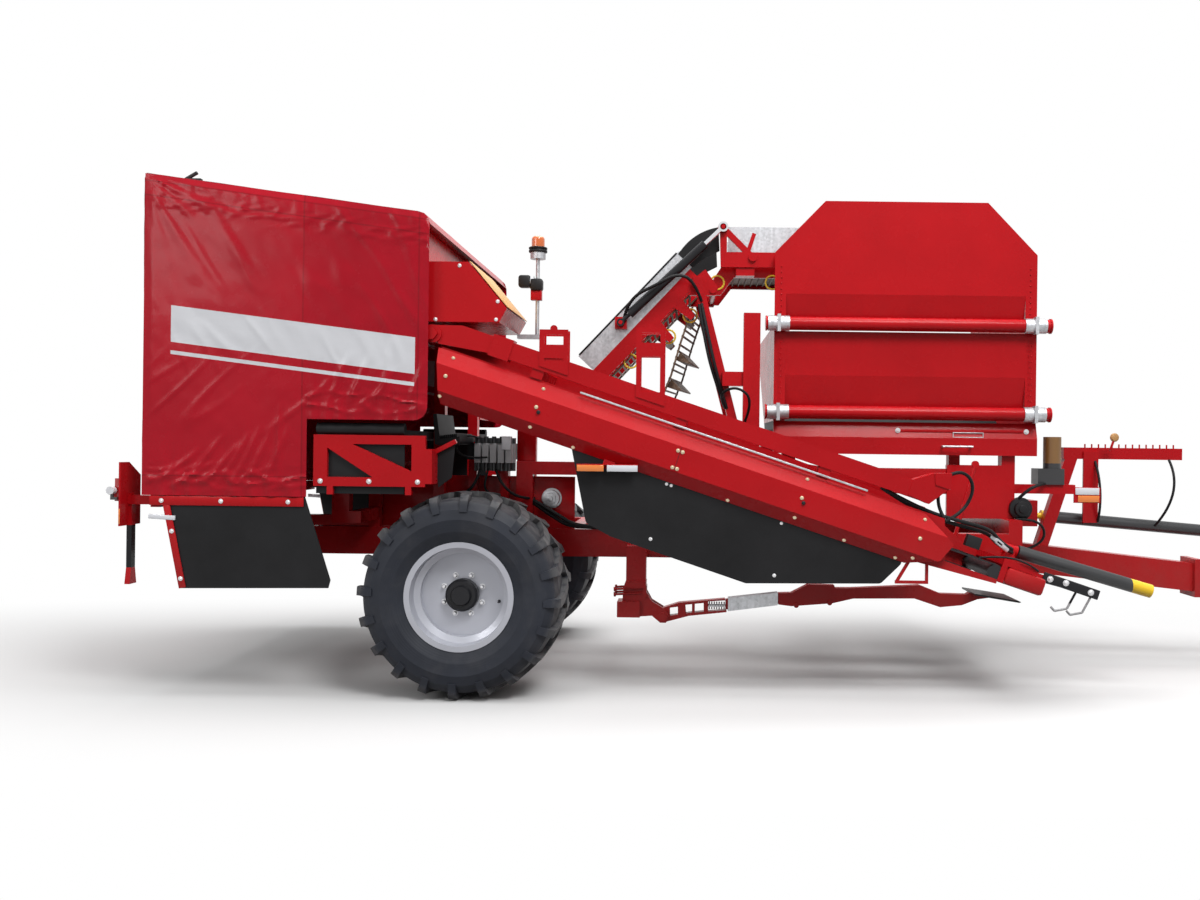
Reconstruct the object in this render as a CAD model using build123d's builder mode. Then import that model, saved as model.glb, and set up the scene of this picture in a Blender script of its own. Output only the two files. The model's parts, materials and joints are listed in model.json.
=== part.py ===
"""Trailed side-digging potato harvester, standing on its wheels and drawbar jack.

Millimetres. +X is forward along the row, +Y is the machine's left, +Z is up.
The origin is on the ground under the middle of the overall box.
"""
import os
from math import cos, radians, sin, tan

from build123d import *

# Wheels and axle
TYRE_DIAMETER = 1373
TYRE_WIDTH = 700
RIM_FLANGE_DIAMETER = 724
RIM_WIDTH = 610
TRACK = 2300
HUB_RADIUS = 108
SPINDLE_RADIUS = 45
AXLE_BEAM = 150

# Clearances
SEAT_GAP = 0.3
RUNNING_GAP = 0.05
MOVING_GAP = 6

# Overall placing
REAR_OVERHANG = 2310
FRONT_REACH = 6550
AXLE_X = (REAR_OVERHANG - FRONT_REACH) / 2
AXLE_Z = TYRE_DIAMETER / 2


def fore(distance):
    """X of a point this far ahead of the axle."""
    return AXLE_X + distance


# Chassis
RAIL_Y = 600
RAIL_WIDTH = 100
RAIL_Z = 880
RAIL_HEIGHT = 200
RAIL_TOP = RAIL_Z + RAIL_HEIGHT
RAIL_REAR = fore(-1980)
RAIL_FRONT = fore(3950)
RAIL_INNER = RAIL_Y - RAIL_WIDTH / 2
RAIL_OUTER = RAIL_Y + RAIL_WIDTH / 2
BEAM = 100
SHEET = 6

# Drawbar
DRAWBAR_Y = 200
DRAWBAR_WIDTH = 180
DRAWBAR_HEIGHT = 225
DRAWBAR_ROOT_Z = 862
DRAWBAR_FRONT = fore(5580)
DRAWBAR_FRONT_Z = 690
FLANGE = 25
EYE_X = fore(FRONT_REACH - 60)
EYE_Z = 640
EYE_RADIUS = 60
EYE_BORE = 20
EYE_HEIGHT = 42
JACK_X = fore(5950)
JACK_TUBE = 100
JACK_LEG = 80
JACK_WALL = (JACK_TUBE - JACK_LEG) / 2

# Hood at the rear
HOOD_Y = 1460
HOOD_REAR = fore(-2085)
HOOD_FRONT = fore(-215)
HOOD_STEP = fore(-1008)
HOOD_BOTTOM = 1335
HOOD_STEP_Z = 1845
HOOD_REAR_TOP = 3445
HOOD_FRONT_TOP = 3205
HOOD_SKIN = 8
POST = 80
HOOD_REAR_POST = fore(-1930)
HOOD_FRONT_POST = fore(-330)

# Intake channel, in a slanting frame with its origin at the rear pivot
PITCH = 18.2
PIVOT_X = fore(-200)
PIVOT_Z = 2420
PIVOT_RADIUS = 30
BOSS_RADIUS = 60
GUARD_Y = 1480
CHANNEL_OUTER = 1390
CHANNEL_INNER = 715
BOOM_Y = 1380
BOOM_WIDTH = 100
BOOM_HEIGHT = 115
GUARD_TOP = -72
GUARD_FOLDS = (-172, -342)
GUARD_BOTTOM = -424
SKIRT_Y = 1450
WEB_TOP = -235
WEB_BOTTOM = -345
WEB_REAR = 150
WEB_FRONT = 4080
NOSE_END = 4460
ROLLER_RADIUS = 47

# Share arm under the intake
ARM_Y = 900
ARM_PIVOT_X = fore(1329)
ARM_PIVOT_Z = 495
ARM_TIP_X = fore(3560)
ARM_TIP_Z = 575
ARM_WIDTH = 70
ARM_HEIGHT = 90
ARM_PIN = 20

# Elevator from the hood to the bunker
LIFT_PITCH = 47
LIFT_X = fore(760)
LIFT_Z = 2268
LIFT_RIGHT = -300
LIFT_LEFT = 420
LIFT_LENGTH = 1130
LIFT_TAIL = -520
PANEL_HEIGHT = 156
LIFT_RAIL = 117
LIFT_RAIL_WIDTH = 40
KNEE_X = fore(1669)
KNEE_Z = 2891
KNEE_RADIUS = 25
HEAD_END = fore(2850)
HEAD_PANEL_REAR = fore(1782)
HEAD_BEAM = 106
HEAD_BEAM_BOTTOM = KNEE_Z + 105
HEAD_BEAM_TOP = HEAD_BEAM_BOTTOM + HEAD_BEAM
HEAD_TOP = HEAD_BEAM_TOP + 284
CYL_BASE_X = fore(973)
CYL_BASE_Z = 2624
CYL_EYE_X = fore(1739)
CYL_EYE_Z = HEAD_BEAM_TOP + 253
CYL_RADIUS = 34
LEG_WIDTH = 60
CYL_Y = LIFT_RIGHT - LEG_WIDTH - MOVING_GAP - CYL_RADIUS
CYL_ROD = 17
CYL_PIN = 15
CYL_EYE_BORE = 24

# Bunker
BUNKER_REAR = fore(2130)
BUNKER_FRONT = fore(4100)
BUNKER_RIGHT = -450
BUNKER_LEFT = 1430
BUNKER_TOP = 3550
BUNKER_CORNER_Z = 3160
BUNKER_CORNER = 375
BUNKER_FLOOR = 1895
BUNKER_SILL = 1653
BUNKER_STRIP = 85
REAR_WALL_TOP = 2620
LEFT_EDGE = 2560
KINK_Y = 520
TUBE_Z = (2622, 1962)
TUBE_RADIUS = 50

# Front end
HOSE_RAIL_Z = 1631
PTO_Y = 300
PTO_RADIUS = 48
GEAR_FRONT = fore(4330)
GEAR_TOP = 1290


def slab(outline, y_right, y_left, mode=Mode.ADD):
    """A flat piece with an XZ outline between two Y values."""
    with BuildSketch(Plane.XZ.offset(-y_left)) as section:
        with BuildLine():
            Polyline(*outline, close=True)
        make_face()
    extrude(to_extrude=section.sketch, amount=y_left - y_right, mode=mode)


def cross_slab(outline, x_rear, x_front, mode=Mode.ADD):
    """A flat piece with a YZ outline between two X values."""
    with BuildSketch(Plane.YZ.offset(x_rear)) as section:
        with BuildLine():
            Polyline(*outline, close=True)
        make_face()
    extrude(to_extrude=section.sketch, amount=x_front - x_rear, mode=mode)


def block(x_rear, x_front, y_right, y_left, z_low, z_high, mode=Mode.ADD):
    """A square-edged block between six planes."""
    outline = [(x_rear, z_low), (x_front, z_low), (x_front, z_high), (x_rear, z_high)]
    slab(outline, y_right, y_left, mode)


def bar(start, end, across, deep, x_dir=(0, 1, 0), mode=Mode.ADD):
    """A straight rectangular bar between two points."""
    run = Vector(*end) - Vector(*start)
    with BuildSketch(Plane(origin=start, x_dir=x_dir, z_dir=run)) as section:
        Rectangle(across, deep)
    extrude(to_extrude=section.sketch, amount=run.length, mode=mode)


def rod(start, end, radius, mode=Mode.ADD):
    """A straight round bar between two points."""
    run = Vector(*end) - Vector(*start)
    with BuildSketch(Plane(origin=start, z_dir=run)) as section:
        Circle(radius)
    extrude(to_extrude=section.sketch, amount=run.length, mode=mode)


def pin(x, z, radius, y_right, y_left, mode=Mode.ADD):
    """A round pin along Y."""
    rod((x, y_right, z), (x, y_left, z), radius, mode)


def intake_plane(y):
    """Side plane of the slanting intake: along the channel, and square to it."""
    angle = radians(PITCH)
    return Plane(origin=(PIVOT_X, y, PIVOT_Z), x_dir=(cos(angle), 0, -sin(angle)), z_dir=(0, -1, 0))


def intake_point(along, above, y):
    """A point of the slanting intake in the machine's frame."""
    spot = intake_plane(y).from_local_coords(Vector(along, above, 0))
    return (spot.X, spot.Y, spot.Z)


def intake_slab(outline, y_right, y_left, mode=Mode.ADD):
    """A flat piece drawn in the intake's side plane."""
    with BuildSketch(intake_plane(y_left)) as section:
        with BuildLine():
            Polyline(*outline, close=True)
        make_face()
    extrude(to_extrude=section.sketch, amount=y_left - y_right, mode=mode)


def lift_plane(y):
    """Side plane of the elevator: up along it, and square to it."""
    angle = radians(LIFT_PITCH)
    return Plane(origin=(LIFT_X, y, LIFT_Z), x_dir=(cos(angle), 0, sin(angle)), z_dir=(0, -1, 0))


def lift_point(along, above, y):
    """A point of the elevator in the machine's frame."""
    spot = lift_plane(y).from_local_coords(Vector(along, above, 0))
    return (spot.X, spot.Y, spot.Z)


def lift_slab(outline, y_right, y_left, mode=Mode.ADD):
    """A flat piece drawn in the elevator's side plane."""
    with BuildSketch(lift_plane(y_left)) as section:
        with BuildLine():
            Polyline(*outline, close=True)
        make_face()
    extrude(to_extrude=section.sketch, amount=y_left - y_right, mode=mode)


def keep(piece, name):
    """Label a finished piece and write it."""
    piece.part.label = name
    export_step(piece.part, f"parts/{name}.step")


os.makedirs("parts", exist_ok=True)


def wheel_plane(side):
    """Half-section plane of a wheel: outward across, radius up."""
    return Plane(origin=(AXLE_X, side * TRACK / 2, AXLE_Z), x_dir=(0, side, 0), z_dir=(1, 0, 0))


def wheel_ring(side, outline, mode=Mode.ADD):
    """Turn a half-section about the wheel's axis."""
    with BuildSketch(wheel_plane(side)) as section:
        with BuildLine():
            Polyline(*outline, close=True)
        make_face()
    revolve(section.sketch, axis=Axis((AXLE_X, 0, AXLE_Z), (0, 1, 0)), mode=mode)


RIM_R = RIM_FLANGE_DIAMETER / 2
RIM_HALF = RIM_WIDTH / 2
BEAD_R = RIM_R - 25
WELL_R = RIM_R - 72
DISC_OUT = 150
DISC_PLATE = 16
DISC_IN = DISC_OUT - DISC_PLATE
HUB_FLANGE = 30
HUB_IN = -60
RIM_WALL = 12
TYRE_HALF = TYRE_WIDTH / 2
LUGS = 20
LUG_DEPTH = 32
LUG_ROOT = 125
LUG_WIDTH = 72
WHEEL_AXIS = Axis((AXLE_X, 0, AXLE_Z), (0, 1, 0))


def lug_blank(side, hand):
    """One curved lug over half of a tyre's width, standing at the top of the wheel."""
    lug_plane = Plane(origin=(AXLE_X, side * TRACK / 2, 2 * AXLE_Z - LUG_ROOT), x_dir=(1, 0, 0), z_dir=(0, 0, 1))
    reach = side * hand
    with BuildSketch(lug_plane) as foot:
        with BuildLine():
            ThreePointArc((-70 - LUG_WIDTH / 2, -20 * reach), (15 - LUG_WIDTH / 2, 160 * reach),
                          (30 - LUG_WIDTH / 3, TYRE_HALF * reach))
            Line((30 - LUG_WIDTH / 3, TYRE_HALF * reach), (30 + LUG_WIDTH / 3, TYRE_HALF * reach))
            ThreePointArc((30 + LUG_WIDTH / 3, TYRE_HALF * reach), (15 + LUG_WIDTH / 2, 160 * reach),
                          (-70 + LUG_WIDTH / 2, -20 * reach))
            Line((-70 + LUG_WIDTH / 2, -20 * reach), (-70 - LUG_WIDTH / 2, -20 * reach))
        make_face()
    extrude(to_extrude=foot.sketch, amount=LUG_ROOT)


for side, name in ((-1, "right"), (1, "left")):
    with BuildPart() as rim:
        wheel_ring(side, [
            (-RIM_HALF, RIM_R), (-RIM_HALF + 12, BEAD_R), (-90, BEAD_R - 7), (-60, WELL_R), (190, WELL_R),
            (215, BEAD_R - 7), (RIM_HALF - 12, BEAD_R), (RIM_HALF, RIM_R), (RIM_HALF, BEAD_R - RIM_WALL),
            (215, BEAD_R - 7 - RIM_WALL), (195, WELL_R - RIM_WALL), (DISC_OUT, WELL_R - RIM_WALL),
            (DISC_OUT, HUB_RADIUS + SEAT_GAP), (DISC_IN, HUB_RADIUS + SEAT_GAP), (DISC_IN, WELL_R - RIM_WALL),
            (-65, WELL_R - RIM_WALL), (-95, BEAD_R - 7 - RIM_WALL), (-RIM_HALF, BEAD_R - RIM_WALL)])
    keep(rim, f"{name}_rim")

    with BuildPart() as hub:
        wheel_ring(side, [
            (HUB_IN, SPINDLE_RADIUS + RUNNING_GAP), (HUB_IN, HUB_RADIUS - 20), (DISC_IN - HUB_FLANGE, HUB_RADIUS - 20),
            (DISC_IN - HUB_FLANGE, HUB_RADIUS + 60), (DISC_IN, HUB_RADIUS + 60), (DISC_IN, HUB_RADIUS),
            (DISC_OUT + 60, HUB_RADIUS), (DISC_OUT + 75, HUB_RADIUS - 15), (DISC_OUT + 75, 70),
            (DISC_OUT + 100, 60), (DISC_OUT + 100, 0), (DISC_OUT + 40, 0), (DISC_OUT + 40, SPINDLE_RADIUS + RUNNING_GAP)])
    keep(hub, f"{name}_hub")

    with BuildPart() as outer_lug:
        lug_blank(side, 1)
        wheel_ring(side, [(-TYRE_HALF, 200), (TYRE_HALF - 14, 200), (TYRE_HALF - 4, AXLE_Z - 120),
                          (TYRE_HALF - 22, AXLE_Z - 50), (TYRE_HALF - 60, AXLE_Z - 12), (0, AXLE_Z),
                          (-TYRE_HALF, AXLE_Z)], mode=Mode.INTERSECT)

    with BuildPart() as inner_lug:
        lug_blank(side, -1)
        wheel_ring(side, [(TYRE_HALF, 200), (-TYRE_HALF + 14, 200), (-TYRE_HALF + 4, AXLE_Z - 120),
                          (-TYRE_HALF + 22, AXLE_Z - 50), (-TYRE_HALF + 60, AXLE_Z - 12), (0, AXLE_Z),
                          (TYRE_HALF, AXLE_Z)], mode=Mode.INTERSECT)

    with BuildPart() as tyre:
        wheel_ring(side, [
            (-RIM_HALF + 14, BEAD_R + SEAT_GAP), (RIM_HALF - 14, BEAD_R + SEAT_GAP), (RIM_HALF - 2, RIM_R + 8),
            (TYRE_HALF - 14, RIM_R + 70), (TYRE_HALF, RIM_R + 150), (TYRE_HALF - 16, AXLE_Z - 110),
            (TYRE_HALF - 62, AXLE_Z - 55), (TYRE_HALF - 150, AXLE_Z - LUG_DEPTH - 6),
            (-TYRE_HALF + 150, AXLE_Z - LUG_DEPTH - 6), (-TYRE_HALF + 62, AXLE_Z - 55),
            (-TYRE_HALF + 16, AXLE_Z - 110), (-TYRE_HALF, RIM_R + 150), (-TYRE_HALF + 14, RIM_R + 70),
            (-RIM_HALF + 2, RIM_R + 8)])
        add([outer_lug.part.rotate(WHEEL_AXIS, turn * 360 / LUGS) for turn in range(LUGS)])
        add([inner_lug.part.rotate(WHEEL_AXIS, (turn + 0.5) * 360 / LUGS) for turn in range(LUGS)])
    keep(tyre, f"{name}_tyre")

SPINDLE_END = TRACK / 2 + DISC_OUT + 30
AXLE_TOP = AXLE_Z + AXLE_BEAM / 2

with BuildPart() as axle:
    block(fore(-AXLE_BEAM / 2), fore(AXLE_BEAM / 2), -RAIL_OUTER - 60, RAIL_OUTER + 60,
          AXLE_Z - AXLE_BEAM / 2, AXLE_TOP)
    for side in (-1, 1):
        pin(AXLE_X, AXLE_Z, SPINDLE_RADIUS, min(side * RAIL_OUTER, side * SPINDLE_END),
            max(side * RAIL_OUTER, side * SPINDLE_END))
        block(fore(-140), fore(140), side * RAIL_Y - 40, side * RAIL_Y + 40, AXLE_TOP - 40, RAIL_Z)
keep(axle, "axle")

with BuildPart() as chassis_rails:
    for side in (-1, 1):
        block(RAIL_REAR, RAIL_FRONT, side * RAIL_Y - RAIL_WIDTH / 2, side * RAIL_Y + RAIL_WIDTH / 2, RAIL_Z, RAIL_TOP)
keep(chassis_rails, "chassis_rails")

with BuildPart() as cross_beams:
    for x_front in (RAIL_REAR + BEAM, fore(-600), fore(700), fore(2100), RAIL_FRONT):
        block(x_front - BEAM, x_front, -RAIL_INNER, RAIL_INNER, RAIL_Z, RAIL_TOP)
keep(cross_beams, "cross_beams")

# Bearers over the rails for the bunker and the elevator's legs
LEG_BOTTOM = RAIL_TOP + BEAM
BEARER_X = (fore(2020), fore(2250), fore(3900))
BUNKER_POST_RIGHT = BUNKER_RIGHT + SHEET + BEAM / 2
BUNKER_POST_LEFT = 1250

with BuildPart() as bearers:
    block(BEARER_X[0] - 50, BEARER_X[0] + 50, -RAIL_OUTER, RAIL_OUTER, RAIL_TOP, LEG_BOTTOM)
    for x in BEARER_X[1:]:
        block(x - 50, x + 50, -RAIL_OUTER, BUNKER_POST_LEFT + 50, RAIL_TOP, LEG_BOTTOM)
    block(BEARER_X[2] + 50, GEAR_FRONT, PTO_Y - 110, PTO_Y + 110, RAIL_TOP, GEAR_TOP)
keep(bearers, "bearers")

# Long beams under the bunker floor, on the posts
FLOOR_THICK = 60
FLOOR_BEAM_TOP = BUNKER_FLOOR - FLOOR_THICK
FLOOR_KINK_UNDER = KINK_Y + 20


def floor_under(y):
    """Height of the rising floor's underside."""
    rise = (LEFT_EDGE - FLOOR_THICK - FLOOR_BEAM_TOP) / (BUNKER_LEFT - FLOOR_KINK_UNDER)
    return FLOOR_BEAM_TOP + (y - FLOOR_KINK_UNDER) * rise


with BuildPart() as bunker_beams:
    block(BUNKER_REAR + 20, BUNKER_FRONT - 20, BUNKER_POST_RIGHT - 50, BUNKER_POST_RIGHT + 50, BUNKER_SILL,
          FLOOR_BEAM_TOP)
    block(BUNKER_REAR + 20, BUNKER_FRONT - 20, BUNKER_POST_LEFT - 50, BUNKER_POST_LEFT + 50, BUNKER_SILL,
          FLOOR_BEAM_TOP)
keep(bunker_beams, "bunker_beams")

VALVE_Y = BUNKER_POST_RIGHT + 50
SHIELD_REAR = fore(3440)
REAR_POST = fore(1900)

with BuildPart() as bunker_posts:
    block(BEARER_X[2] + 50, fore(4420), VALVE_Y - 60, VALVE_Y, 1370, 1440)
    block(fore(4410), fore(4610), VALVE_Y - 60, VALVE_Y - 50, 1304, 1422)
    block(fore(4410), fore(4440), VALVE_Y - 60, VALVE_Y, 1370, 1422)
    block(SHIELD_REAR, BEARER_X[2] - 50, BUNKER_POST_RIGHT - 50, BUNKER_POST_RIGHT - 42, LEG_BOTTOM, 1520)
    block(SHIELD_REAR, BEARER_X[2] - 50, BUNKER_POST_RIGHT - 50, BUNKER_POST_RIGHT, 1520, 1580)
    block(REAR_POST, BEARER_X[0] + 5, BUNKER_RIGHT - 30, BUNKER_RIGHT + 50, LEG_BOTTOM, 2700)
    block(fore(1745), REAR_POST, BUNKER_RIGHT, LIFT_RIGHT - LEG_WIDTH, 2153, 2260)
    for x in BEARER_X[1:]:
        for y in (BUNKER_POST_RIGHT, BUNKER_POST_LEFT):
            block(x - 50, x + 50, y - 50, y + 50, LEG_BOTTOM, BUNKER_SILL)
    for x in (BUNKER_REAR + 60, BUNKER_FRONT - 160):
        cross_slab([(BUNKER_POST_LEFT - 50, FLOOR_BEAM_TOP), (BUNKER_POST_LEFT + 50, FLOOR_BEAM_TOP),
                    (BUNKER_POST_LEFT + 50, floor_under(BUNKER_POST_LEFT + 50)),
                    (BUNKER_POST_LEFT - 50, floor_under(BUNKER_POST_LEFT - 50))], x, x + 100)
keep(bunker_posts, "bunker_posts")

# Upper beam and posts on the right of the chassis
UPPER_Z = 1476
UPPER_HEIGHT = 95
STRUT_OUT = 1090
CONV_TOP = 1790
PLATE_TOP = 1745
BELT_LOW = CONV_TOP - 70
CROSS_LOW = 1580

# Hood frame: posts on the rails, arms under the skin, bows and top rails
ROOF_DROP = (HOOD_REAR_TOP - HOOD_FRONT_TOP) / (HOOD_FRONT - HOOD_REAR)


def roof_z(x):
    """Height of the roof's outer skin above a point."""
    return HOOD_REAR_TOP - (x - HOOD_REAR) * ROOF_DROP


BOW = 60
BOW_TOP = HOOD_SKIN

with BuildPart() as frame_posts:
    for x in (fore(300), fore(1500)):
        block(x - 60, x + 60, -RAIL_OUTER, -RAIL_INNER, RAIL_TOP, UPPER_Z)
    for side in (-1, 1):
        block(fore(-840), fore(-760), side * RAIL_Y - 40, side * RAIL_Y + 40, RAIL_TOP, BELT_LOW)
        edges = sorted((side * (STRUT_OUT - 80), side * STRUT_OUT))
        block(fore(-960), fore(-840), edges[0], edges[1], RAIL_TOP + 60, BELT_LOW)
    for x in (fore(-80), fore(150)):
        for side in (-1, 1):
            edges = sorted((side * RAIL_INNER, side * RAIL_OUTER))
            block(x - 30, x + 30, edges[0], edges[1], RAIL_TOP, CROSS_LOW)
    for x in (HOOD_REAR_POST, HOOD_FRONT_POST):
        for side in (-1, 1):
            block(x - POST / 2, x + POST / 2, side * RAIL_Y - POST / 2, side * RAIL_Y + POST / 2, RAIL_TOP,
                  roof_z(x + POST / 2) - BOW_TOP - BOW)
    for y in (LIFT_RIGHT - LEG_WIDTH / 2, LIFT_LEFT + LEG_WIDTH / 2):
        slab([(BEARER_X[0] - 35, LEG_BOTTOM), (BEARER_X[0] + 35, LEG_BOTTOM), (KNEE_X - 90, KNEE_Z + 90),
              (KNEE_X - 160, KNEE_Z + 90)], y - LEG_WIDTH / 2, y + LEG_WIDTH / 2)
keep(frame_posts, "frame_posts")

with BuildPart() as upper_beams:
    block(fore(240), fore(1560), -RAIL_OUTER, -RAIL_INNER, UPPER_Z, UPPER_Z + UPPER_HEIGHT)
    for side in (-1, 1):
        edges = sorted((side * (RAIL_Y + 40), side * STRUT_OUT))
        block(fore(-840), fore(-760), edges[0], edges[1], RAIL_TOP + 60, RAIL_TOP + 140)
keep(upper_beams, "upper_beams")

ARM_Z = HOOD_BOTTOM - 80
REAR_ARM_X = HOOD_REAR_POST - POST / 2

with BuildPart() as hood_bows:
    for x in (HOOD_REAR_POST, HOOD_FRONT_POST):
        low = roof_z(x + POST / 2) - BOW_TOP - BOW
        slab([(x - POST / 2, low), (x + POST / 2, low), (x + POST / 2, low + BOW),
              (x - POST / 2, roof_z(x - POST / 2) - BOW_TOP)], -HOOD_Y + HOOD_SKIN, HOOD_Y - HOOD_SKIN)
    block(REAR_ARM_X - 60, REAR_ARM_X, -HOOD_Y + HOOD_SKIN, HOOD_Y - HOOD_SKIN, ARM_Z, HOOD_BOTTOM)
keep(hood_bows, "hood_bows")

HOOD_SIDE = [(HOOD_REAR, HOOD_BOTTOM), (HOOD_STEP, HOOD_BOTTOM), (HOOD_STEP, HOOD_STEP_Z),
             (HOOD_FRONT, HOOD_STEP_Z), (HOOD_FRONT, HOOD_FRONT_TOP), (HOOD_REAR, HOOD_REAR_TOP)]

with BuildPart() as hood_sides:
    slab(HOOD_SIDE, -HOOD_Y, -HOOD_Y + HOOD_SKIN)
    slab(HOOD_SIDE, HOOD_Y - HOOD_SKIN, HOOD_Y)
keep(hood_sides, "hood_sides")

with BuildPart() as hood_roof:
    slab([(HOOD_REAR, HOOD_BOTTOM), (HOOD_REAR + HOOD_SKIN, HOOD_BOTTOM),
          (HOOD_REAR + HOOD_SKIN, roof_z(HOOD_REAR + HOOD_SKIN) - HOOD_SKIN),
          (HOOD_FRONT, HOOD_FRONT_TOP - HOOD_SKIN), (HOOD_FRONT, HOOD_FRONT_TOP), (HOOD_REAR, HOOD_REAR_TOP)],
         -HOOD_Y + HOOD_SKIN, HOOD_Y - HOOD_SKIN)
keep(hood_roof, "hood_roof")

PANEL_X = HOOD_FRONT_POST + POST / 2
END_BOX_LOW = 2502
END_BOX_TOP = 2900
END_BOX_X = fore(235)
END_BOX_RIGHT = -1400
END_BOX_LEFT = -560
FRONT_PANEL_LOW = 2500

with BuildPart() as hood_front_panel:
    cross_slab([(-HOOD_Y + 15, FRONT_PANEL_LOW), (RAIL_Y + 45, FRONT_PANEL_LOW), (RAIL_Y + 45, 1900),
                (HOOD_Y - 15, 1900), (HOOD_Y - 15, HOOD_FRONT_TOP - 70), (-HOOD_Y + 15, HOOD_FRONT_TOP - 70)],
               PANEL_X, PANEL_X + SHEET)
    slab([(PANEL_X + SHEET, END_BOX_LOW), (END_BOX_X, END_BOX_LOW), (END_BOX_X + 50, END_BOX_LOW + 93),
          (END_BOX_X - 207, END_BOX_TOP), (PANEL_X + SHEET, END_BOX_TOP)], END_BOX_RIGHT, END_BOX_LEFT)
keep(hood_front_panel, "hood_front_panel")

# Rear conveyor across the machine, its side frames and belt
CONV_REAR = fore(-967)
CONV_FRONT = fore(-232)
CONV_BOTTOM = 1407
CONV_Y = HOOD_Y - HOOD_SKIN - 6
CONV_PLATE = 30
FLAP_ARM_Y = 1290

with BuildPart() as rear_conveyor_frame:
    for side in (-1, 1):
        edges = sorted((side * CONV_Y, side * (CONV_Y - CONV_PLATE)))
        slab([(CONV_REAR, CONV_BOTTOM), (CONV_FRONT, CONV_BOTTOM), (CONV_FRONT, PLATE_TOP), (CONV_REAR, PLATE_TOP)],
             edges[0], edges[1])
        slab([(CONV_REAR + 90, CONV_BOTTOM + 60), (CONV_REAR + 390, CONV_BOTTOM + 60), (CONV_REAR + 90, PLATE_TOP - 85)],
             edges[0], edges[1], mode=Mode.SUBTRACT)
        slab([(CONV_FRONT - 90, CONV_BOTTOM + 100), (CONV_FRONT - 90, PLATE_TOP - 60), (CONV_FRONT - 480, PLATE_TOP - 60)],
             edges[0], edges[1], mode=Mode.SUBTRACT)
        for x in (CONV_REAR + 90, CONV_FRONT - 130):
            block(x, x + 40, edges[0], edges[1], CONV_BOTTOM - 55, CONV_BOTTOM)
    block(CONV_FRONT, CONV_FRONT + 45, -CONV_Y, -FLAP_ARM_Y, CONV_BOTTOM + 20, CONV_BOTTOM + 250)
    bar((CONV_FRONT + 20, -FLAP_ARM_Y - 15, CONV_BOTTOM + 225), (fore(-60), -FLAP_ARM_Y - 15, CONV_BOTTOM + 305), 30, 30)
keep(rear_conveyor_frame, "rear_conveyor_frame")

CONV_INNER = CONV_Y - CONV_PLATE
BELT_REAR = HOOD_FRONT_POST - POST / 2 - MOVING_GAP
BELT_ROLLER = 40

with BuildPart() as conveyor_belts:
    slab([(CONV_REAR + 60, BELT_LOW), (BELT_REAR, BELT_LOW), (BELT_REAR, CONV_TOP - 10),
          (CONV_REAR + 60, CONV_TOP - 10)], -CONV_INNER, CONV_INNER)
    for side in (-1, 1):
        edges = sorted((side * CONV_INNER, side * (CONV_INNER - 8)))
        block(CONV_REAR + 10, BELT_REAR, edges[0], edges[1], CONV_BOTTOM - 50, BELT_LOW)
        rod((CONV_REAR + 15, side * (CONV_Y - BELT_ROLLER), PLATE_TOP + BELT_ROLLER + SEAT_GAP),
            (BELT_REAR, side * (CONV_Y - BELT_ROLLER), PLATE_TOP + BELT_ROLLER + SEAT_GAP), BELT_ROLLER)
    slab([(fore(-255), 1898), (fore(-240), 1690), (fore(-215), 1684), (fore(-85), 1690), (fore(-71), 1710),
          (fore(-71), 1745), (fore(-205), 1725), (fore(-230), 1898)], -1150, -RAIL_OUTER + 10)
    for step in range(9):
        bar((fore(-205 + 14 * step), -1150, 1737 + 2 * step), (fore(-205 + 14 * step), -RAIL_OUTER, 1737 + 2 * step),
            6, 24, x_dir=(1, 0, 0))
    block(fore(-120), fore(200), -RAIL_OUTER, RAIL_OUTER, CROSS_LOW, CROSS_LOW + 120)
keep(conveyor_belts, "conveyor_belts")

# Rear flaps and lamp boards
FLAP_Y = HOOD_Y

with BuildPart() as rear_flaps:
    for side in (-1, 1):
        edges = sorted((side * FLAP_Y, side * (FLAP_Y - 10)))
        slab([(fore(-1944), HOOD_BOTTOM), (fore(-1016), HOOD_BOTTOM), (fore(-842), 789), (fore(-855), 737),
              (fore(-1826), 725)], edges[0], edges[1])
    slab([(fore(-205), CONV_BOTTOM + 220), (fore(-70), CONV_BOTTOM + 285), (fore(-90), CONV_BOTTOM + 60),
          (fore(-180), CONV_BOTTOM - 8)], -FLAP_ARM_Y, -FLAP_ARM_Y + 8)
keep(rear_flaps, "rear_flaps")

LAMP_RIGHT = -1440
LAMP_WIDE = 260

LAMP_FACE = fore(-2248)
STALK = 50

with BuildPart() as rear_lamp_boards:
    for side in (-1, 1):
        right, left = LAMP_RIGHT, LAMP_RIGHT + LAMP_WIDE
        middle = (right + left) / 2
        board = [(right, 1125), (right, 1547), (right + 110, 1547), (left, 1458), (left, 1125)]
        foot = [(middle - 45, 733), (middle + 45, 733), (middle + STALK / 2, 842), (middle - STALK / 2, 842)]
        cross_slab([(-side * y, z) for y, z in board], LAMP_FACE, LAMP_FACE + 12)
        cross_slab([(-side * y, z) for y, z in foot], LAMP_FACE, LAMP_FACE + 34)
        edges = sorted((-side * (middle - STALK / 2), -side * (middle + STALK / 2)))
        block(LAMP_FACE + 12, LAMP_FACE + 34, edges[0], edges[1], 842, 1340)
        block(LAMP_FACE, LAMP_FACE + 34, edges[0], edges[1], 842, 1125)
        block(LAMP_FACE + 12, REAR_ARM_X - 60, edges[0] - 10, edges[1] + 10, ARM_Z + 10, HOOD_BOTTOM - 10)
keep(rear_lamp_boards, "rear_lamp_boards")

SIDE_LAMP = 26

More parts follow.
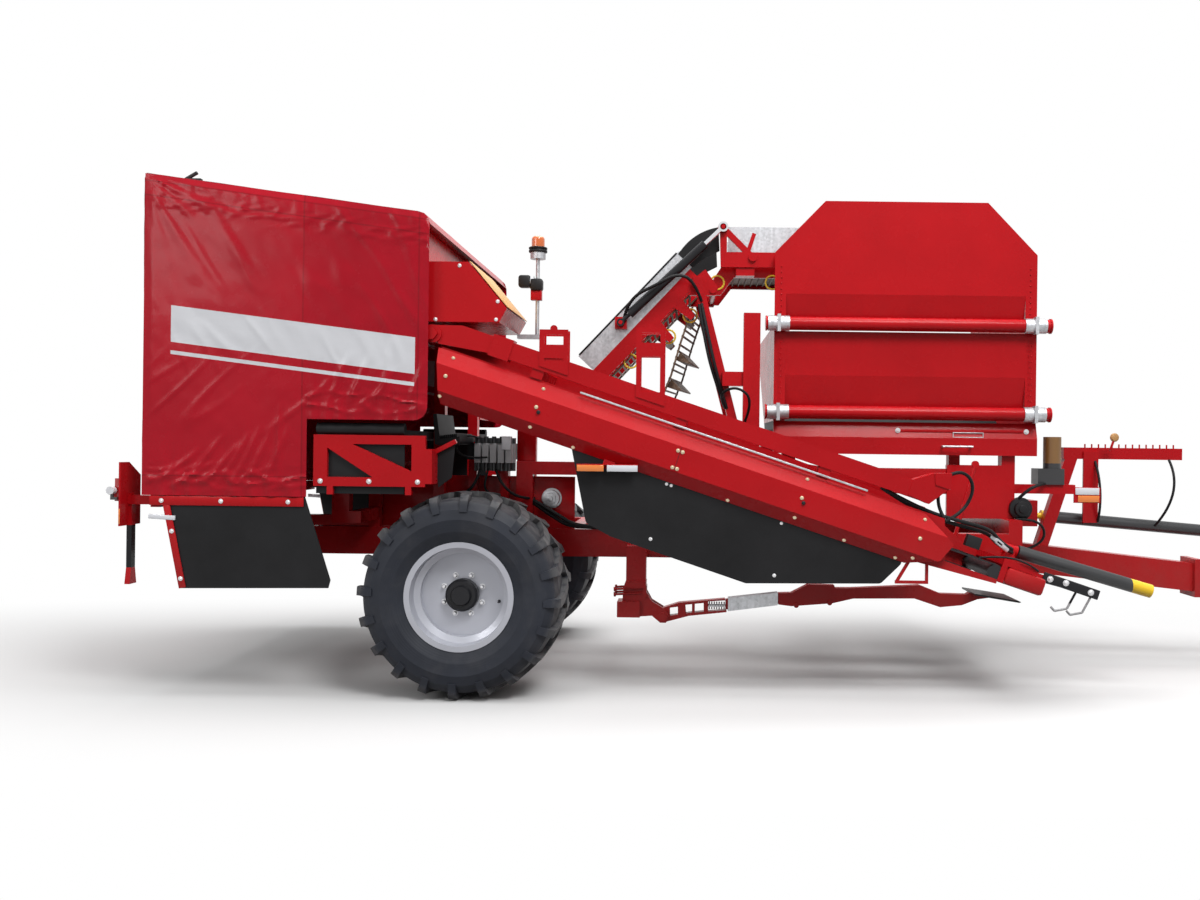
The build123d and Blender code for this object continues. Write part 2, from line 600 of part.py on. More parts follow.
with BuildPart() as rear_lamps:
    for side in (-1, 1):
        edges = sorted((side * (LAMP_RIGHT + 10), side * (LAMP_RIGHT + LAMP_WIDE - 10)))
        block(LAMP_FACE - 30, LAMP_FACE, edges[0], edges[1], 1290, 1440)
        ends = sorted((side * LAMP_RIGHT, side * (LAMP_RIGHT - 40)))
        lamp_x = fore(SIDE_LAMP - REAR_OVERHANG)
        pin(lamp_x, 1361, SIDE_LAMP, ends[0], ends[1])
        block(lamp_x - 8, LAMP_FACE, *sorted((side * (LAMP_RIGHT + 20), side * (LAMP_RIGHT - 20))), 1300, 1318)
        block(lamp_x - 8, lamp_x + 8, *sorted((side * (LAMP_RIGHT + 20), side * (LAMP_RIGHT - 20))), 1318, 1350)
keep(rear_lamps, "rear_lamps")

# Rear pivot that carries the intake
LUG = 15
LUG_OUT = CHANNEL_OUTER + 60
LUG_IN = CHANNEL_INNER - 40
PIVOT_BEAM_FRONT = HOOD_FRONT_POST + POST / 2

with BuildPart() as intake_pivot:
    block(PIVOT_BEAM_FRONT - 80, PIVOT_BEAM_FRONT, -LUG_OUT, -RAIL_Y - POST / 2, PIVOT_Z - 40, PIVOT_Z + 40)
    for y in (-LUG_OUT, -LUG_IN - LUG):
        slab([(PIVOT_BEAM_FRONT - 40, PIVOT_Z - 40), (PIVOT_X + 10, PIVOT_Z - 40), (PIVOT_X + 40, PIVOT_Z),
              (PIVOT_X + 10, PIVOT_Z + 40), (PIVOT_BEAM_FRONT - 40, PIVOT_Z + 40)], y, y + LUG)
    pin(PIVOT_X, PIVOT_Z, PIVOT_RADIUS, -LUG_OUT, -LUG_IN)
keep(intake_pivot, "intake_pivot")

BOOM_LENGTH = 3500
BOOM_JOINT = 400
LADDER = 190
LADDER_PLATE = 8
LADDERS = ((fore(508), 2215, 240), (fore(1147), 2020, 455))
BOOM_OUT = -BOOM_Y - BOOM_WIDTH / 2
BOOM_IN = -BOOM_Y + BOOM_WIDTH / 2

with BuildPart() as intake_boom:
    intake_slab([(-20, -10), (60, -50), (BOOM_JOINT, 0), (BOOM_JOINT, BOOM_HEIGHT), (170, BOOM_HEIGHT), (-20, 55)],
                BOOM_OUT + 15, BOOM_IN - 15)
    intake_slab([(BOOM_JOINT - 10, -15), (BOOM_JOINT + 130, -15), (BOOM_JOINT + 130, BOOM_HEIGHT + 15),
                 (BOOM_JOINT - 10, BOOM_HEIGHT + 15)], BOOM_OUT - 8, BOOM_IN + 8)
    intake_slab([(BOOM_JOINT, 0), (BOOM_LENGTH - 60, 0), (BOOM_LENGTH - 60, BOOM_HEIGHT), (BOOM_JOINT, BOOM_HEIGHT)],
                BOOM_OUT, BOOM_IN)
    intake_slab([(BOOM_LENGTH - 190, 10), (BOOM_LENGTH - 40, -4), (BOOM_LENGTH + 60, 138), (BOOM_LENGTH + 30, 232),
                 (BOOM_LENGTH - 70, 200), (BOOM_LENGTH - 190, BOOM_HEIGHT)], BOOM_OUT - 6, BOOM_IN + 6)
    intake_slab([(BOOM_LENGTH - 40, 130), (BOOM_LENGTH + 66, 130), (BOOM_LENGTH + 38, 236), (BOOM_LENGTH - 68, 200)],
                BOOM_OUT - 14, BOOM_IN + 14)
    pin(PIVOT_X, PIVOT_Z, BOSS_RADIUS, BOOM_OUT, BOOM_IN)
    pin(PIVOT_X, PIVOT_Z, PIVOT_RADIUS + RUNNING_GAP, BOOM_OUT, BOOM_IN, mode=Mode.SUBTRACT)
    for x, low, tall in LADDERS:
        for y in (BOOM_OUT - LADDER_PLATE, BOOM_IN):
            slab([(x, low), (x + LADDER, low - LADDER * tan(radians(PITCH))), (x + LADDER, low + tall), (x, low + tall)],
                 y, y + LADDER_PLATE)
            slab([(x + 32, low + tall - 100), (x + LADDER - 32, low + tall - 100), (x + LADDER - 32, low + tall - 35),
                  (x + 32, low + tall - 35)], y, y + LADDER_PLATE, mode=Mode.SUBTRACT)
            slab([(x + 32, low + 30), (x + LADDER - 32, low + 30), (x + LADDER - 32, low + tall - 190),
                  (x + 32, low + tall - 190)], y, y + LADDER_PLATE, mode=Mode.SUBTRACT)
        pin(x + LADDER / 2, low + tall + 5, 24, BOOM_OUT - LADDER_PLATE, BOOM_OUT)
keep(intake_boom, "intake_boom")

GUARD_INSET = 70
GUARD_BACK = -CHANNEL_OUTER - SHEET


def guard_plane(along):
    """Plane square across the intake at a distance from its pivot."""
    angle = radians(PITCH)
    return Plane(origin=intake_point(along, 0, 0), x_dir=(0, 1, 0), z_dir=(cos(angle), 0, -sin(angle)))


with BuildPart() as intake_guard:
    with BuildSketch(guard_plane(0)) as fold:
        with BuildLine():
            Polyline((GUARD_BACK, GUARD_TOP), (-GUARD_Y + GUARD_INSET, GUARD_TOP), (-GUARD_Y, GUARD_FOLDS[0]),
                     (-GUARD_Y, GUARD_FOLDS[1]), (-GUARD_Y + GUARD_INSET, GUARD_BOTTOM),
                     (-GUARD_Y + GUARD_INSET + SHEET, GUARD_BOTTOM), (-GUARD_Y + SHEET, GUARD_FOLDS[1] + 2),
                     (-GUARD_Y + SHEET, GUARD_FOLDS[0] - 2), (-GUARD_Y + GUARD_INSET + 3, GUARD_TOP - SHEET),
                     (GUARD_BACK, GUARD_TOP - SHEET), close=True)
        make_face()
    extrude(to_extrude=fold.sketch, amount=3700)
    intake_slab([(-200, GUARD_TOP + 20), (57, GUARD_TOP + 20), (205, GUARD_BOTTOM - 20), (-200, GUARD_BOTTOM - 20)],
                -GUARD_Y - 5, GUARD_BACK + 5, mode=Mode.SUBTRACT)
    intake_slab([(3454, GUARD_TOP + 20), (3468, GUARD_TOP), (3630, -166), (3692, -206), (3640, -335),
                 (3436, GUARD_BOTTOM), (3430, GUARD_BOTTOM - 20), (3900, GUARD_BOTTOM - 20), (3900, GUARD_TOP + 20)],
                -GUARD_Y - 5, GUARD_BACK + 5, mode=Mode.SUBTRACT)
keep(intake_guard, "intake_guard")

with BuildPart() as intake_walls:
    intake_slab([(80, -60), (180, GUARD_BOTTOM + 30), (3500, GUARD_BOTTOM + 30), (4060, -358), (4060, -330),
                 (3690, -325), (3600, -60)], -CHANNEL_OUTER - SHEET, -CHANNEL_OUTER)
    intake_slab([(-BOSS_RADIUS / 2, 0), (60, GUARD_BOTTOM + 30), (3500, GUARD_BOTTOM + 30), (4060, -345),
                 (4060, -225), (3600, -20), (60, BOSS_RADIUS)], -CHANNEL_INNER - 20, -CHANNEL_INNER)
    pin(PIVOT_X, PIVOT_Z, BOSS_RADIUS, -CHANNEL_INNER - 20, -CHANNEL_INNER)
    pin(PIVOT_X, PIVOT_Z, PIVOT_RADIUS + RUNNING_GAP, -CHANNEL_INNER - 20, -CHANNEL_INNER, mode=Mode.SUBTRACT)
    rod((fore(3425), -CHANNEL_INNER - 6, 1020), (fore(3578), -CHANNEL_INNER - 6, 1590), 14)
    pin(fore(3578), 1590, 26, -CHANNEL_INNER - 18, -CHANNEL_INNER + 6)
    for start, end in (((2970, 960), (2885, 815)), ((2875, 815), (3095, 815)), ((3085, 805), (3085, 955))):
        bar((fore(start[0]), -CHANNEL_OUTER - 3, start[1]), (fore(end[0]), -CHANNEL_OUTER - 3, end[1]), 16, 20)
keep(intake_walls, "intake_walls")

with BuildPart() as intake_ties:
    for along in (700, 1700, 2700):
        intake_slab([(along, -60), (along + 80, -60), (along + 80, 0), (along, 0)], BOOM_OUT + 10,
                    -CHANNEL_INNER - 20)
keep(intake_ties, "intake_ties")

WEB_OUT = -CHANNEL_OUTER + 0.5
WEB_IN = -CHANNEL_INNER - 20.5

WEB_BELT = 55
WEB_ROD = 8
WEB_PITCH = 78
WEB_RADIUS = (WEB_TOP - WEB_BOTTOM) / 2
WEB_MID = (WEB_TOP + WEB_BOTTOM) / 2


def belt_loop(outer, inner, y_right, y_left):
    """An endless belt standing on edge round two rollers of the intake."""
    for reach, mode in ((outer, Mode.ADD), (inner, Mode.SUBTRACT)):
        with BuildSketch(intake_plane(y_left)) as loop:
            with Locations(((WEB_REAR + WEB_FRONT) / 2, WEB_MID)):
                SlotOverall(WEB_FRONT - WEB_REAR - 2 * (outer - reach), 2 * reach)
        extrude(to_extrude=loop.sketch, amount=y_left - y_right, mode=mode)


with BuildPart() as intake_web:
    for y in (WEB_OUT, WEB_IN - WEB_BELT):
        belt_loop(WEB_RADIUS, WEB_RADIUS - 10, y, y + WEB_BELT)
    with BuildSketch(intake_plane(WEB_IN)) as rods:
        for step in range(int((WEB_FRONT - WEB_REAR - 2 * WEB_RADIUS) / WEB_PITCH)):
            with Locations((WEB_REAR + WEB_RADIUS + (step + 0.5) * WEB_PITCH, WEB_TOP - 4)):
                Rectangle(14, 14)
    extrude(to_extrude=rods.sketch, amount=WEB_IN - WEB_OUT)
    for along in (WEB_REAR + WEB_RADIUS, WEB_FRONT - WEB_RADIUS):
        rod(intake_point(along, WEB_MID, WEB_OUT), intake_point(along, WEB_MID, WEB_IN), WEB_RADIUS - 9)
keep(intake_web, "intake_web")

with BuildPart() as rubber_skirt:
    with BuildSketch(intake_plane(GUARD_BACK)) as skirt:
        with BuildLine():
            FilletPolyline((1080, GUARD_BOTTOM + 60), (1360, -855), (1545, -889), (2490, -892), (3335, -605),
                           (3420, -442), (3420, GUARD_BOTTOM + 60), radius=38, close=True)
        make_face()
    extrude(to_extrude=skirt.sketch, amount=8)
keep(rubber_skirt, "rubber_skirt")

# Nose at the front of the intake, with the roller's bracket
NOSE_OUT = -1330
LIFTERS = ((NOSE_OUT + 130, 4672), (NOSE_OUT + 380, 4878))
NOSE_IN = -CHANNEL_INNER - 20

ROLLER_Y = -1000
ROLLER_PIN = 15
ROLLER_START = intake_point(4254, -110, ROLLER_Y)
ROLLER_END = intake_point(5224, -70, ROLLER_Y)
ROLLER_RUN = (Vector(*ROLLER_END) - Vector(*ROLLER_START)).normalized()


def along_roller(distance):
    """A point this far along the haulm roller from its rear end."""
    spot = Vector(*ROLLER_START) + ROLLER_RUN * distance
    return (spot.X, spot.Y, spot.Z)


NOSE_FOLD = -278
NOSE_INSET = 60

with BuildPart() as nose_hood:
    with BuildSketch(guard_plane(WEB_FRONT + 10)) as fold:
        with BuildLine():
            Polyline((NOSE_OUT + NOSE_INSET, -200), (NOSE_OUT, NOSE_FOLD), (NOSE_OUT, -345), (NOSE_IN, -345),
                     (NOSE_IN, -200), close=True)
        make_face()
    extrude(to_extrude=fold.sketch, amount=NOSE_END - WEB_FRONT - 10)
    intake_slab([(4302, -190), (4386, -268), (NOSE_END, -300), (NOSE_END + 20, -190)], NOSE_OUT - 5, NOSE_IN + 5,
                mode=Mode.SUBTRACT)
    intake_slab([(4335, -350), (4395, -275), (NOSE_END + 20, -250), (NOSE_END + 20, -350)], NOSE_OUT - 5, NOSE_IN + 5,
                mode=Mode.SUBTRACT)
    intake_slab([(4062, -225), (4300, -225), (4300, -180), (4062, -180)], GUARD_BACK, -CHANNEL_INNER)
    for edges in ((GUARD_BACK, -CHANNEL_OUTER), (-CHANNEL_INNER - 20, -CHANNEL_INNER)):
        intake_slab([(4060, -340), (4100, -340), (4100, -190), (4060, -230)], edges[0], edges[1])
    for y, reach in LIFTERS:
        intake_slab([(4280, -205), (reach, -205), (reach + 30, -220), (reach, -238), (4280, -262)], y - 15, y + 15)
        prong = [(reach - 15, -225), (reach - 40, -368), (reach - 115, -410), (reach - 148, -392)]
        for start, end in zip(prong, prong[1:]):
            rod(intake_point(*start, y), intake_point(*end, y), 8)
    rod(along_roller(-110), along_roller(-MOVING_GAP), 36)
    rod(along_roller(-20), along_roller(60), ROLLER_PIN)
    intake_slab([(4160, -180), (4230, -180), (4230, -110), (4160, -110)], ROLLER_Y - 36, ROLLER_Y + 36)
keep(nose_hood, "nose_hood")

with BuildPart() as haulm_roller:
    rod(along_roller(0), along_roller(970), ROLLER_RADIUS)
    rod(along_roller(0), along_roller(66), ROLLER_PIN + RUNNING_GAP, mode=Mode.SUBTRACT)
keep(haulm_roller, "haulm_roller")

# Share arm and its post
POST_Y = -ARM_Y

CLAMP_Z = 700
ARM_TOP = [(ARM_PIVOT_X, ARM_PIVOT_Z + 60), (fore(1440), 592), (fore(1769), 624)]
HUMP = [(fore(2145), 668), (fore(2235), 671), (fore(2355), 733), (fore(2537), 729), (fore(2544), 709),
        (fore(2658), 710), (fore(3142), 736), (fore(3290), 678), (fore(3506), 673), (ARM_TIP_X, 647),
        (fore(3439), 599), (fore(3285), 583), (fore(3103), 642), (fore(2672), 636), (fore(2525), 601),
        (fore(2236), 577), (fore(2145), 588)]
BLADE_REAR_Z = 688
BLADE_FALL = 0.156
ARM_RIGHT = POST_Y - ARM_WIDTH / 2
ARM_LEFT = POST_Y + ARM_WIDTH / 2

with BuildPart() as share_arm_post:
    block(fore(1070), fore(1210), POST_Y - 60, -RAIL_OUTER, RAIL_Z + 20, RAIL_Z + 110)
    block(fore(1070), fore(1210), POST_Y - 60, POST_Y + 60, CLAMP_Z + 40, RAIL_Z + 30)
    slab([(fore(1052), CLAMP_Z), (fore(1212), CLAMP_Z), (fore(1212), CLAMP_Z + 45), (fore(1068), CLAMP_Z + 45)],
         POST_Y - 80, POST_Y + 80)
    slab([(fore(1045), 600), (fore(1200), 600), (fore(1200), CLAMP_Z), (fore(1052), CLAMP_Z)], POST_Y - 50, POST_Y + 50)
    block(fore(1010), fore(1170), POST_Y - 85, POST_Y + 85, 492, 602)
    for y in (ARM_RIGHT - 22, ARM_LEFT + 2):
        slab([(fore(1053), 640), (fore(1187), 668), (fore(1208), 685), (fore(1252), 606), (fore(1350), ARM_PIVOT_Z + 52),
              (fore(1372), ARM_PIVOT_Z), (fore(1355), ARM_PIVOT_Z - 42), (fore(1313), ARM_PIVOT_Z - 42), (fore(1254), 502),
              (fore(1150), 494)], y, y + 20)
    for z in (CLAMP_Z - 14, CLAMP_Z - 50):
        for y in (POST_Y - 64, POST_Y + 64):
            rod((fore(985), y, z), (fore(1215), y, z + 14), 8)
            rod((fore(985), y, z), (fore(1000), y, z + 1), 16)
    for y in (POST_Y - 72, POST_Y + 50):
        block(fore(1190), fore(1215), y, y + 22, CLAMP_Z - 70, CLAMP_Z + 10)
    pin(ARM_PIVOT_X, ARM_PIVOT_Z, ARM_PIN, ARM_RIGHT - 22, ARM_LEFT + 22)
    pin(ARM_PIVOT_X, ARM_PIVOT_Z, 30, ARM_RIGHT - 34, ARM_RIGHT - 20)
keep(share_arm_post, "share_arm_post")

with BuildPart() as share_arm:
    slab(ARM_TOP + [(fore(1781), 530), (fore(1512), 500), (ARM_PIVOT_X + 20, ARM_PIVOT_Z - 40),
                    (ARM_PIVOT_X - 30, ARM_PIVOT_Z - 30)], ARM_RIGHT, ARM_LEFT)
    for window in ([(fore(1380), 556), (fore(1436), 564), (fore(1437), 508), (fore(1382), 500)],
                   [(fore(1489), 578), (fore(1536), 583), (fore(1536), 524), (fore(1495), 518)],
                   [(fore(1556), 586), (fore(1618), 592), (fore(1619), 532), (fore(1556), 525)],
                   [(fore(1650), 604), (fore(1772), 612), (fore(1772), 542), (fore(1650), 534)]):
        slab(window, ARM_RIGHT, ARM_LEFT, mode=Mode.SUBTRACT)
    slab([(fore(1772), 619), (fore(2150), 662), (fore(2150), 594), (fore(1772), 547)], ARM_RIGHT + 10, ARM_LEFT - 10)
    slab(HUMP, ARM_RIGHT, ARM_LEFT)
    slab([(fore(3470), 672), (fore(3492), BLADE_REAR_Z), (fore(3640), BLADE_REAR_Z - 148 * BLADE_FALL), (fore(3625), 652),
          (fore(3540), 640)], POST_Y - 30, POST_Y + 30)
    pin(ARM_PIVOT_X, ARM_PIVOT_Z, 44, ARM_RIGHT, ARM_LEFT)
    pin(ARM_PIVOT_X, ARM_PIVOT_Z, ARM_PIN + RUNNING_GAP, ARM_RIGHT, ARM_LEFT, mode=Mode.SUBTRACT)
    for x, z in ((2270, 585), (2505, 606)):
        pin(fore(x), z, 18, ARM_RIGHT - 12, ARM_LEFT + 12)
keep(share_arm, "share_arm")

# Spring in the arm's last window and the bright sleeve ahead of it
SPRING_START = Vector(fore(1650), POST_Y, 572)
SPRING_RUN = Vector(fore(1772), POST_Y, 572) - SPRING_START
COILS = 7

with BuildPart() as share_sleeve:
    slab([(fore(1790), 630), (fore(2140), 672), (fore(2140), 584), (fore(1790), 537)], ARM_RIGHT - 6, ARM_LEFT + 6)
    slab([(fore(1790), 624), (fore(2140), 664), (fore(2140), 592), (fore(1790), 545)], ARM_RIGHT + 10, ARM_LEFT - 10,
         mode=Mode.SUBTRACT)
    rod(tuple(SPRING_START), tuple(SPRING_START + SPRING_RUN), 9)
    for coil in range(COILS):
        rod(tuple(SPRING_START + SPRING_RUN * ((coil + 0.25) / COILS)),
            tuple(SPRING_START + SPRING_RUN * ((coil + 0.75) / COILS)), 27)
keep(share_sleeve, "share_sleeve")

with BuildPart() as share_blade:
    slab([(fore(3490), BLADE_REAR_Z + 12), (fore(3492), BLADE_REAR_Z), (fore(3800), BLADE_REAR_Z - 308 * BLADE_FALL),
          (fore(3815), BLADE_REAR_Z - 308 * BLADE_FALL + 5), (fore(3795), BLADE_REAR_Z - 303 * BLADE_FALL + 14)],
         POST_Y - 175, POST_Y + 175)
keep(share_blade, "share_blade")

# Elevator
LIFT_PANEL = SHEET

with BuildPart() as elevator_panels:
    for y in (LIFT_RIGHT, LIFT_LEFT - LIFT_PANEL):
        lift_slab([(0, 0), (LIFT_LENGTH, 0), (LIFT_LENGTH - 20, PANEL_HEIGHT), (0, PANEL_HEIGHT)], y, y + LIFT_PANEL)
keep(elevator_panels, "elevator_panels")

with BuildPart() as elevator_rails:
    for y, out in ((LIFT_RIGHT, -1), (LIFT_LEFT - LIFT_RAIL_WIDTH, 1)):
        lift_slab([(LIFT_TAIL, -LIFT_RAIL), (LIFT_LENGTH - 60, -LIFT_RAIL), (LIFT_LENGTH - 60, 0), (LIFT_TAIL, 0)],
                  y, y + LIFT_RAIL_WIDTH)
        slab([(KNEE_X - 180, KNEE_Z - 40), (KNEE_X + 20, KNEE_Z - 40), (KNEE_X + 40, KNEE_Z + 20),
              (KNEE_X - 60, KNEE_Z + 160), (KNEE_X - 180, KNEE_Z + 60)], y, y + LIFT_RAIL_WIDTH)
        pin(KNEE_X, KNEE_Z, KNEE_RADIUS + RUNNING_GAP, y, y + LIFT_RAIL_WIDTH, mode=Mode.SUBTRACT)
        for along in (582, 818):
            lift_slab([(along - 45, -LIFT_RAIL + 10), (along + 45, -LIFT_RAIL + 10), (along + 25, -275),
                       (along - 25, -275)], y, y + LIFT_RAIL_WIDTH)
    block(CYL_BASE_X - 45, CYL_BASE_X + 45, CYL_Y + 22, LIFT_RIGHT, CYL_BASE_Z - 45, CYL_BASE_Z + 45)
    pin(CYL_BASE_X, CYL_BASE_Z, CYL_PIN, CYL_Y - 22, CYL_Y + 30)
keep(elevator_rails, "elevator_rails")

STRAND = -132
STRAND_BELT = 50
STRAND_RIGHT = LIFT_RIGHT + LIFT_RAIL_WIDTH + 0.5
STRAND_LEFT = LIFT_LEFT - LIFT_RAIL_WIDTH - 0.5
SLACK_SKEW = 90
SLACK = [(fore(1508), 2756), (fore(1425), 2500), (fore(1352), 2240), (fore(1290), 2080), (fore(1180), 1960),
         (fore(980), 1850), (fore(720), 1790), (fore(520), 1770)]

WEB_ROLLERS = ((fore(1329), 2533), (fore(1497), 2700), (fore(520), 1815))


def slack_point(run, share, y):
    """A point of the slack strand, its left belt hanging further forward."""
    start, end = SLACK[run], SLACK[run + 1]
    lean = SLACK_SKEW * (y - STRAND_RIGHT) / (STRAND_LEFT - STRAND_RIGHT)
    return (start[0] + (end[0] - start[0]) * share + lean, y, start[1] + (end[1] - start[1]) * share)


with BuildPart() as elevator_web:
    for y in (STRAND_RIGHT, STRAND_LEFT - STRAND_BELT):
        lift_slab([(LIFT_TAIL + 30, STRAND - 6), (LIFT_LENGTH - 110, STRAND - 6), (LIFT_LENGTH - 110, STRAND + 6),
                   (LIFT_TAIL + 30, STRAND + 6)], y, y + STRAND_BELT)
    with BuildSketch(lift_plane(STRAND_LEFT)) as rods:
        for step in range(int((LIFT_LENGTH - LIFT_TAIL - 160) / 50)):
            with Locations((LIFT_TAIL + 50 + step * 50, STRAND)):
                Rectangle(14, 14)
    extrude(to_extrude=rods.sketch, amount=STRAND_LEFT - STRAND_RIGHT)
    for step in range(4):
        spot = LIFT_TAIL + 295 + step * 350
        lift_slab([(spot, STRAND - 4), (spot + 12, STRAND - 4), (spot + 12, STRAND + 95), (spot, STRAND + 95)],
                  STRAND_RIGHT + 60, STRAND_LEFT - 60)
    for run in range(len(SLACK) - 1):
        length = (Vector(*slack_point(run, 1, 0)) - Vector(*slack_point(run, 0, 0))).length
        for y in (STRAND_RIGHT + STRAND_BELT / 2, STRAND_LEFT - STRAND_BELT / 2):
            bar(slack_point(run, -10 / length, y), slack_point(run, 1 + 10 / length, y), STRAND_BELT, 14)
        run_plane = Plane(origin=slack_point(run, 0, STRAND_LEFT - 5), z_dir=(0, -1, 0),
                          x_dir=Vector(*slack_point(run, 1, 0)) - Vector(*slack_point(run, 0, 0)))
        with BuildSketch(run_plane) as rods:
            for step in range(int(length / 50)):
                with Locations(((step + 0.5) * 50, 0)):
                    Rectangle(14, 14)
        across = Vector(*slack_point(run, 0, STRAND_RIGHT + 5)) - Vector(*slack_point(run, 0, STRAND_LEFT - 5))
        extrude(to_extrude=rods.sketch, amount=across.length, dir=across.normalized())
    for run in (1, 2):
        root = slack_point(run, 0.5, STRAND_RIGHT + 60)
        far = slack_point(run, 0.5, STRAND_LEFT - 60)
        with BuildSketch(Plane(origin=root, x_dir=(0.9, 0, -0.43), z_dir=Vector(*far) - Vector(*root))) as flight:
            with BuildLine():
                Polyline((0, -60), (110, -20), (110, -10), (0, 10), close=True)
            make_face()
        extrude(to_extrude=flight.sketch, amount=(Vector(*far) - Vector(*root)).length)
    for x, z in WEB_ROLLERS:
        pin(x, z, 34, LIFT_RIGHT + LIFT_RAIL_WIDTH, LIFT_LEFT - LIFT_RAIL_WIDTH)
keep(elevator_web, "elevator_web")

COVER = 5

with BuildPart() as knee_covers:
    for y in (LIFT_RIGHT - COVER, LIFT_LEFT):
        with BuildSketch(Plane.XZ.offset(-y - COVER)) as cover:
            with BuildLine():
                Line((fore(1398), 3166), (fore(1420), 3192))
                ThreePointArc((fore(1420), 3192), (fore(1540), 3308), (fore(1706), 3372))
                Line((fore(1706), 3372), (fore(1716), 3190))
                Line((fore(1716), 3190), (fore(1600), 3130))
                Line((fore(1600), 3130), (fore(1512), 3060))
                Line((fore(1512), 3060), (fore(1398), 3166))
            make_face()
        extrude(to_extrude=cover.sketch, amount=COVER)
keep(knee_covers, "knee_covers")

HEAD_RIGHT = LIFT_RIGHT + LIFT_RAIL_WIDTH + MOVING_GAP
HEAD_LEFT = LIFT_LEFT - LIFT_RAIL_WIDTH - MOVING_GAP
OUTER_BEAM_LOW = CYL_EYE_Z - 298
OUTER_BEAM_TOP = CYL_EYE_Z - 184

with BuildPart() as head_frame:
    for y in (HEAD_RIGHT, HEAD_LEFT - 30):
        slab([(KNEE_X - 30, KNEE_Z - 30), (KNEE_X + 60, KNEE_Z - 30), (KNEE_X + 160, HEAD_BEAM_BOTTOM),
              (HEAD_END - 40, HEAD_BEAM_BOTTOM), (HEAD_END - 40, HEAD_BEAM_TOP), (KNEE_X + 80, HEAD_BEAM_TOP),
              (KNEE_X - 30, KNEE_Z + 40)], y, y + 30)
    pin(KNEE_X, KNEE_Z, KNEE_RADIUS, LIFT_RIGHT - 10, LIFT_LEFT + 10)
    slab([(CYL_EYE_X - 15, OUTER_BEAM_LOW), (HEAD_END - 60, OUTER_BEAM_LOW), (HEAD_END - 60, OUTER_BEAM_TOP),
          (CYL_EYE_X + 30, OUTER_BEAM_TOP), (CYL_EYE_X + 30, CYL_EYE_Z), (CYL_EYE_X - 25, CYL_EYE_Z)],
         CYL_Y + 26, CYL_Y + 56)
    bar((CYL_EYE_X, CYL_Y + 41, CYL_EYE_Z), (CYL_EYE_X + 227, CYL_Y + 41, CYL_EYE_Z - 223), 30, 46)
    pin(CYL_EYE_X, CYL_EYE_Z, 40, CYL_Y + 26, CYL_Y + 56)
    pin(CYL_EYE_X + 227, CYL_EYE_Z - 223, 32, CYL_Y + 4, CYL_Y + 56)
    block(HEAD_PANEL_REAR + 60, HEAD_PANEL_REAR + 200, CYL_Y + 40, HEAD_RIGHT, HEAD_BEAM_BOTTOM, HEAD_BEAM_TOP)
    pin(CYL_EYE_X, CYL_EYE_Z, CYL_PIN, CYL_Y - 22, CYL_Y + 40)
    bar((HEAD_PANEL_REAR + 200, HEAD_RIGHT - 5, HEAD_TOP - 50), (HEAD_PANEL_REAR + 110, HEAD_RIGHT - 5, OUTER_BEAM_LOW),
        10, 30)
keep(head_frame, "head_frame")

with BuildPart() as head_panels:
    for y in (HEAD_RIGHT, HEAD_LEFT - SHEET):
        slab([(HEAD_PANEL_REAR, HEAD_BEAM_TOP), (HEAD_END, HEAD_BEAM_TOP), (HEAD_END, HEAD_TOP),
              (HEAD_PANEL_REAR, HEAD_TOP)], y, y + SHEET)
keep(head_panels, "head_panels")

with BuildPart() as head_web:
    slab([(KNEE_X + 130, HEAD_BEAM_BOTTOM + 30), (HEAD_END - 20, HEAD_BEAM_BOTTOM + 30), (HEAD_END - 20, HEAD_BEAM_TOP + 20),
          (KNEE_X + 130, HEAD_BEAM_TOP + 20)], HEAD_RIGHT + 30.5, HEAD_LEFT - 30.5)
keep(head_web, "head_web")

# Tilt cylinder of the elevator head
CYL_BASE = Vector(CYL_BASE_X, CYL_Y, CYL_BASE_Z)
CYL_EYE = Vector(CYL_EYE_X, CYL_Y, CYL_EYE_Z)
CYL_RUN = (CYL_EYE - CYL_BASE).normalized()
CYL_LENGTH = (CYL_EYE - CYL_BASE).length
CYL_BARREL = CYL_LENGTH - 190
CYL_ROD_IN = CYL_LENGTH - 420


def along_cylinder(distance):
    """A point this far along the tilt cylinder from its base pin."""
    spot = CYL_BASE + CYL_RUN * distance
    return (spot.X, spot.Y, spot.Z)


with BuildPart() as cylinder_barrel:
    rod(along_cylinder(90), along_cylinder(CYL_BARREL), CYL_RADIUS)
    rod(along_cylinder(22), along_cylinder(95), CYL_PIN)
    pin(CYL_BASE_X, CYL_BASE_Z, CYL_PIN + 14, CYL_Y - 20, CYL_Y + 20)
    pin(CYL_BASE_X, CYL_BASE_Z, CYL_PIN + RUNNING_GAP, CYL_Y - 40, CYL_Y + 40, mode=Mode.SUBTRACT)
    rod(along_cylinder(CYL_ROD_IN - 10), along_cylinder(CYL_LENGTH), CYL_ROD + SEAT_GAP, mode=Mode.SUBTRACT)
keep(cylinder_barrel, "cylinder_barrel")

with BuildPart() as cylinder_rod:
    rod(along_cylinder(CYL_ROD_IN), along_cylinder(CYL_LENGTH), CYL_ROD)
    pin(CYL_EYE_X, CYL_EYE_Z, CYL_EYE_BORE + 14, CYL_Y - 20, CYL_Y + 20)
    pin(CYL_EYE_X, CYL_EYE_Z, CYL_EYE_BORE, CYL_Y - 40, CYL_Y + 40, mode=Mode.SUBTRACT)
keep(cylinder_rod, "cylinder_rod")

# Bunker
FOLD = 50
PANEL_Y = BUNKER_RIGHT

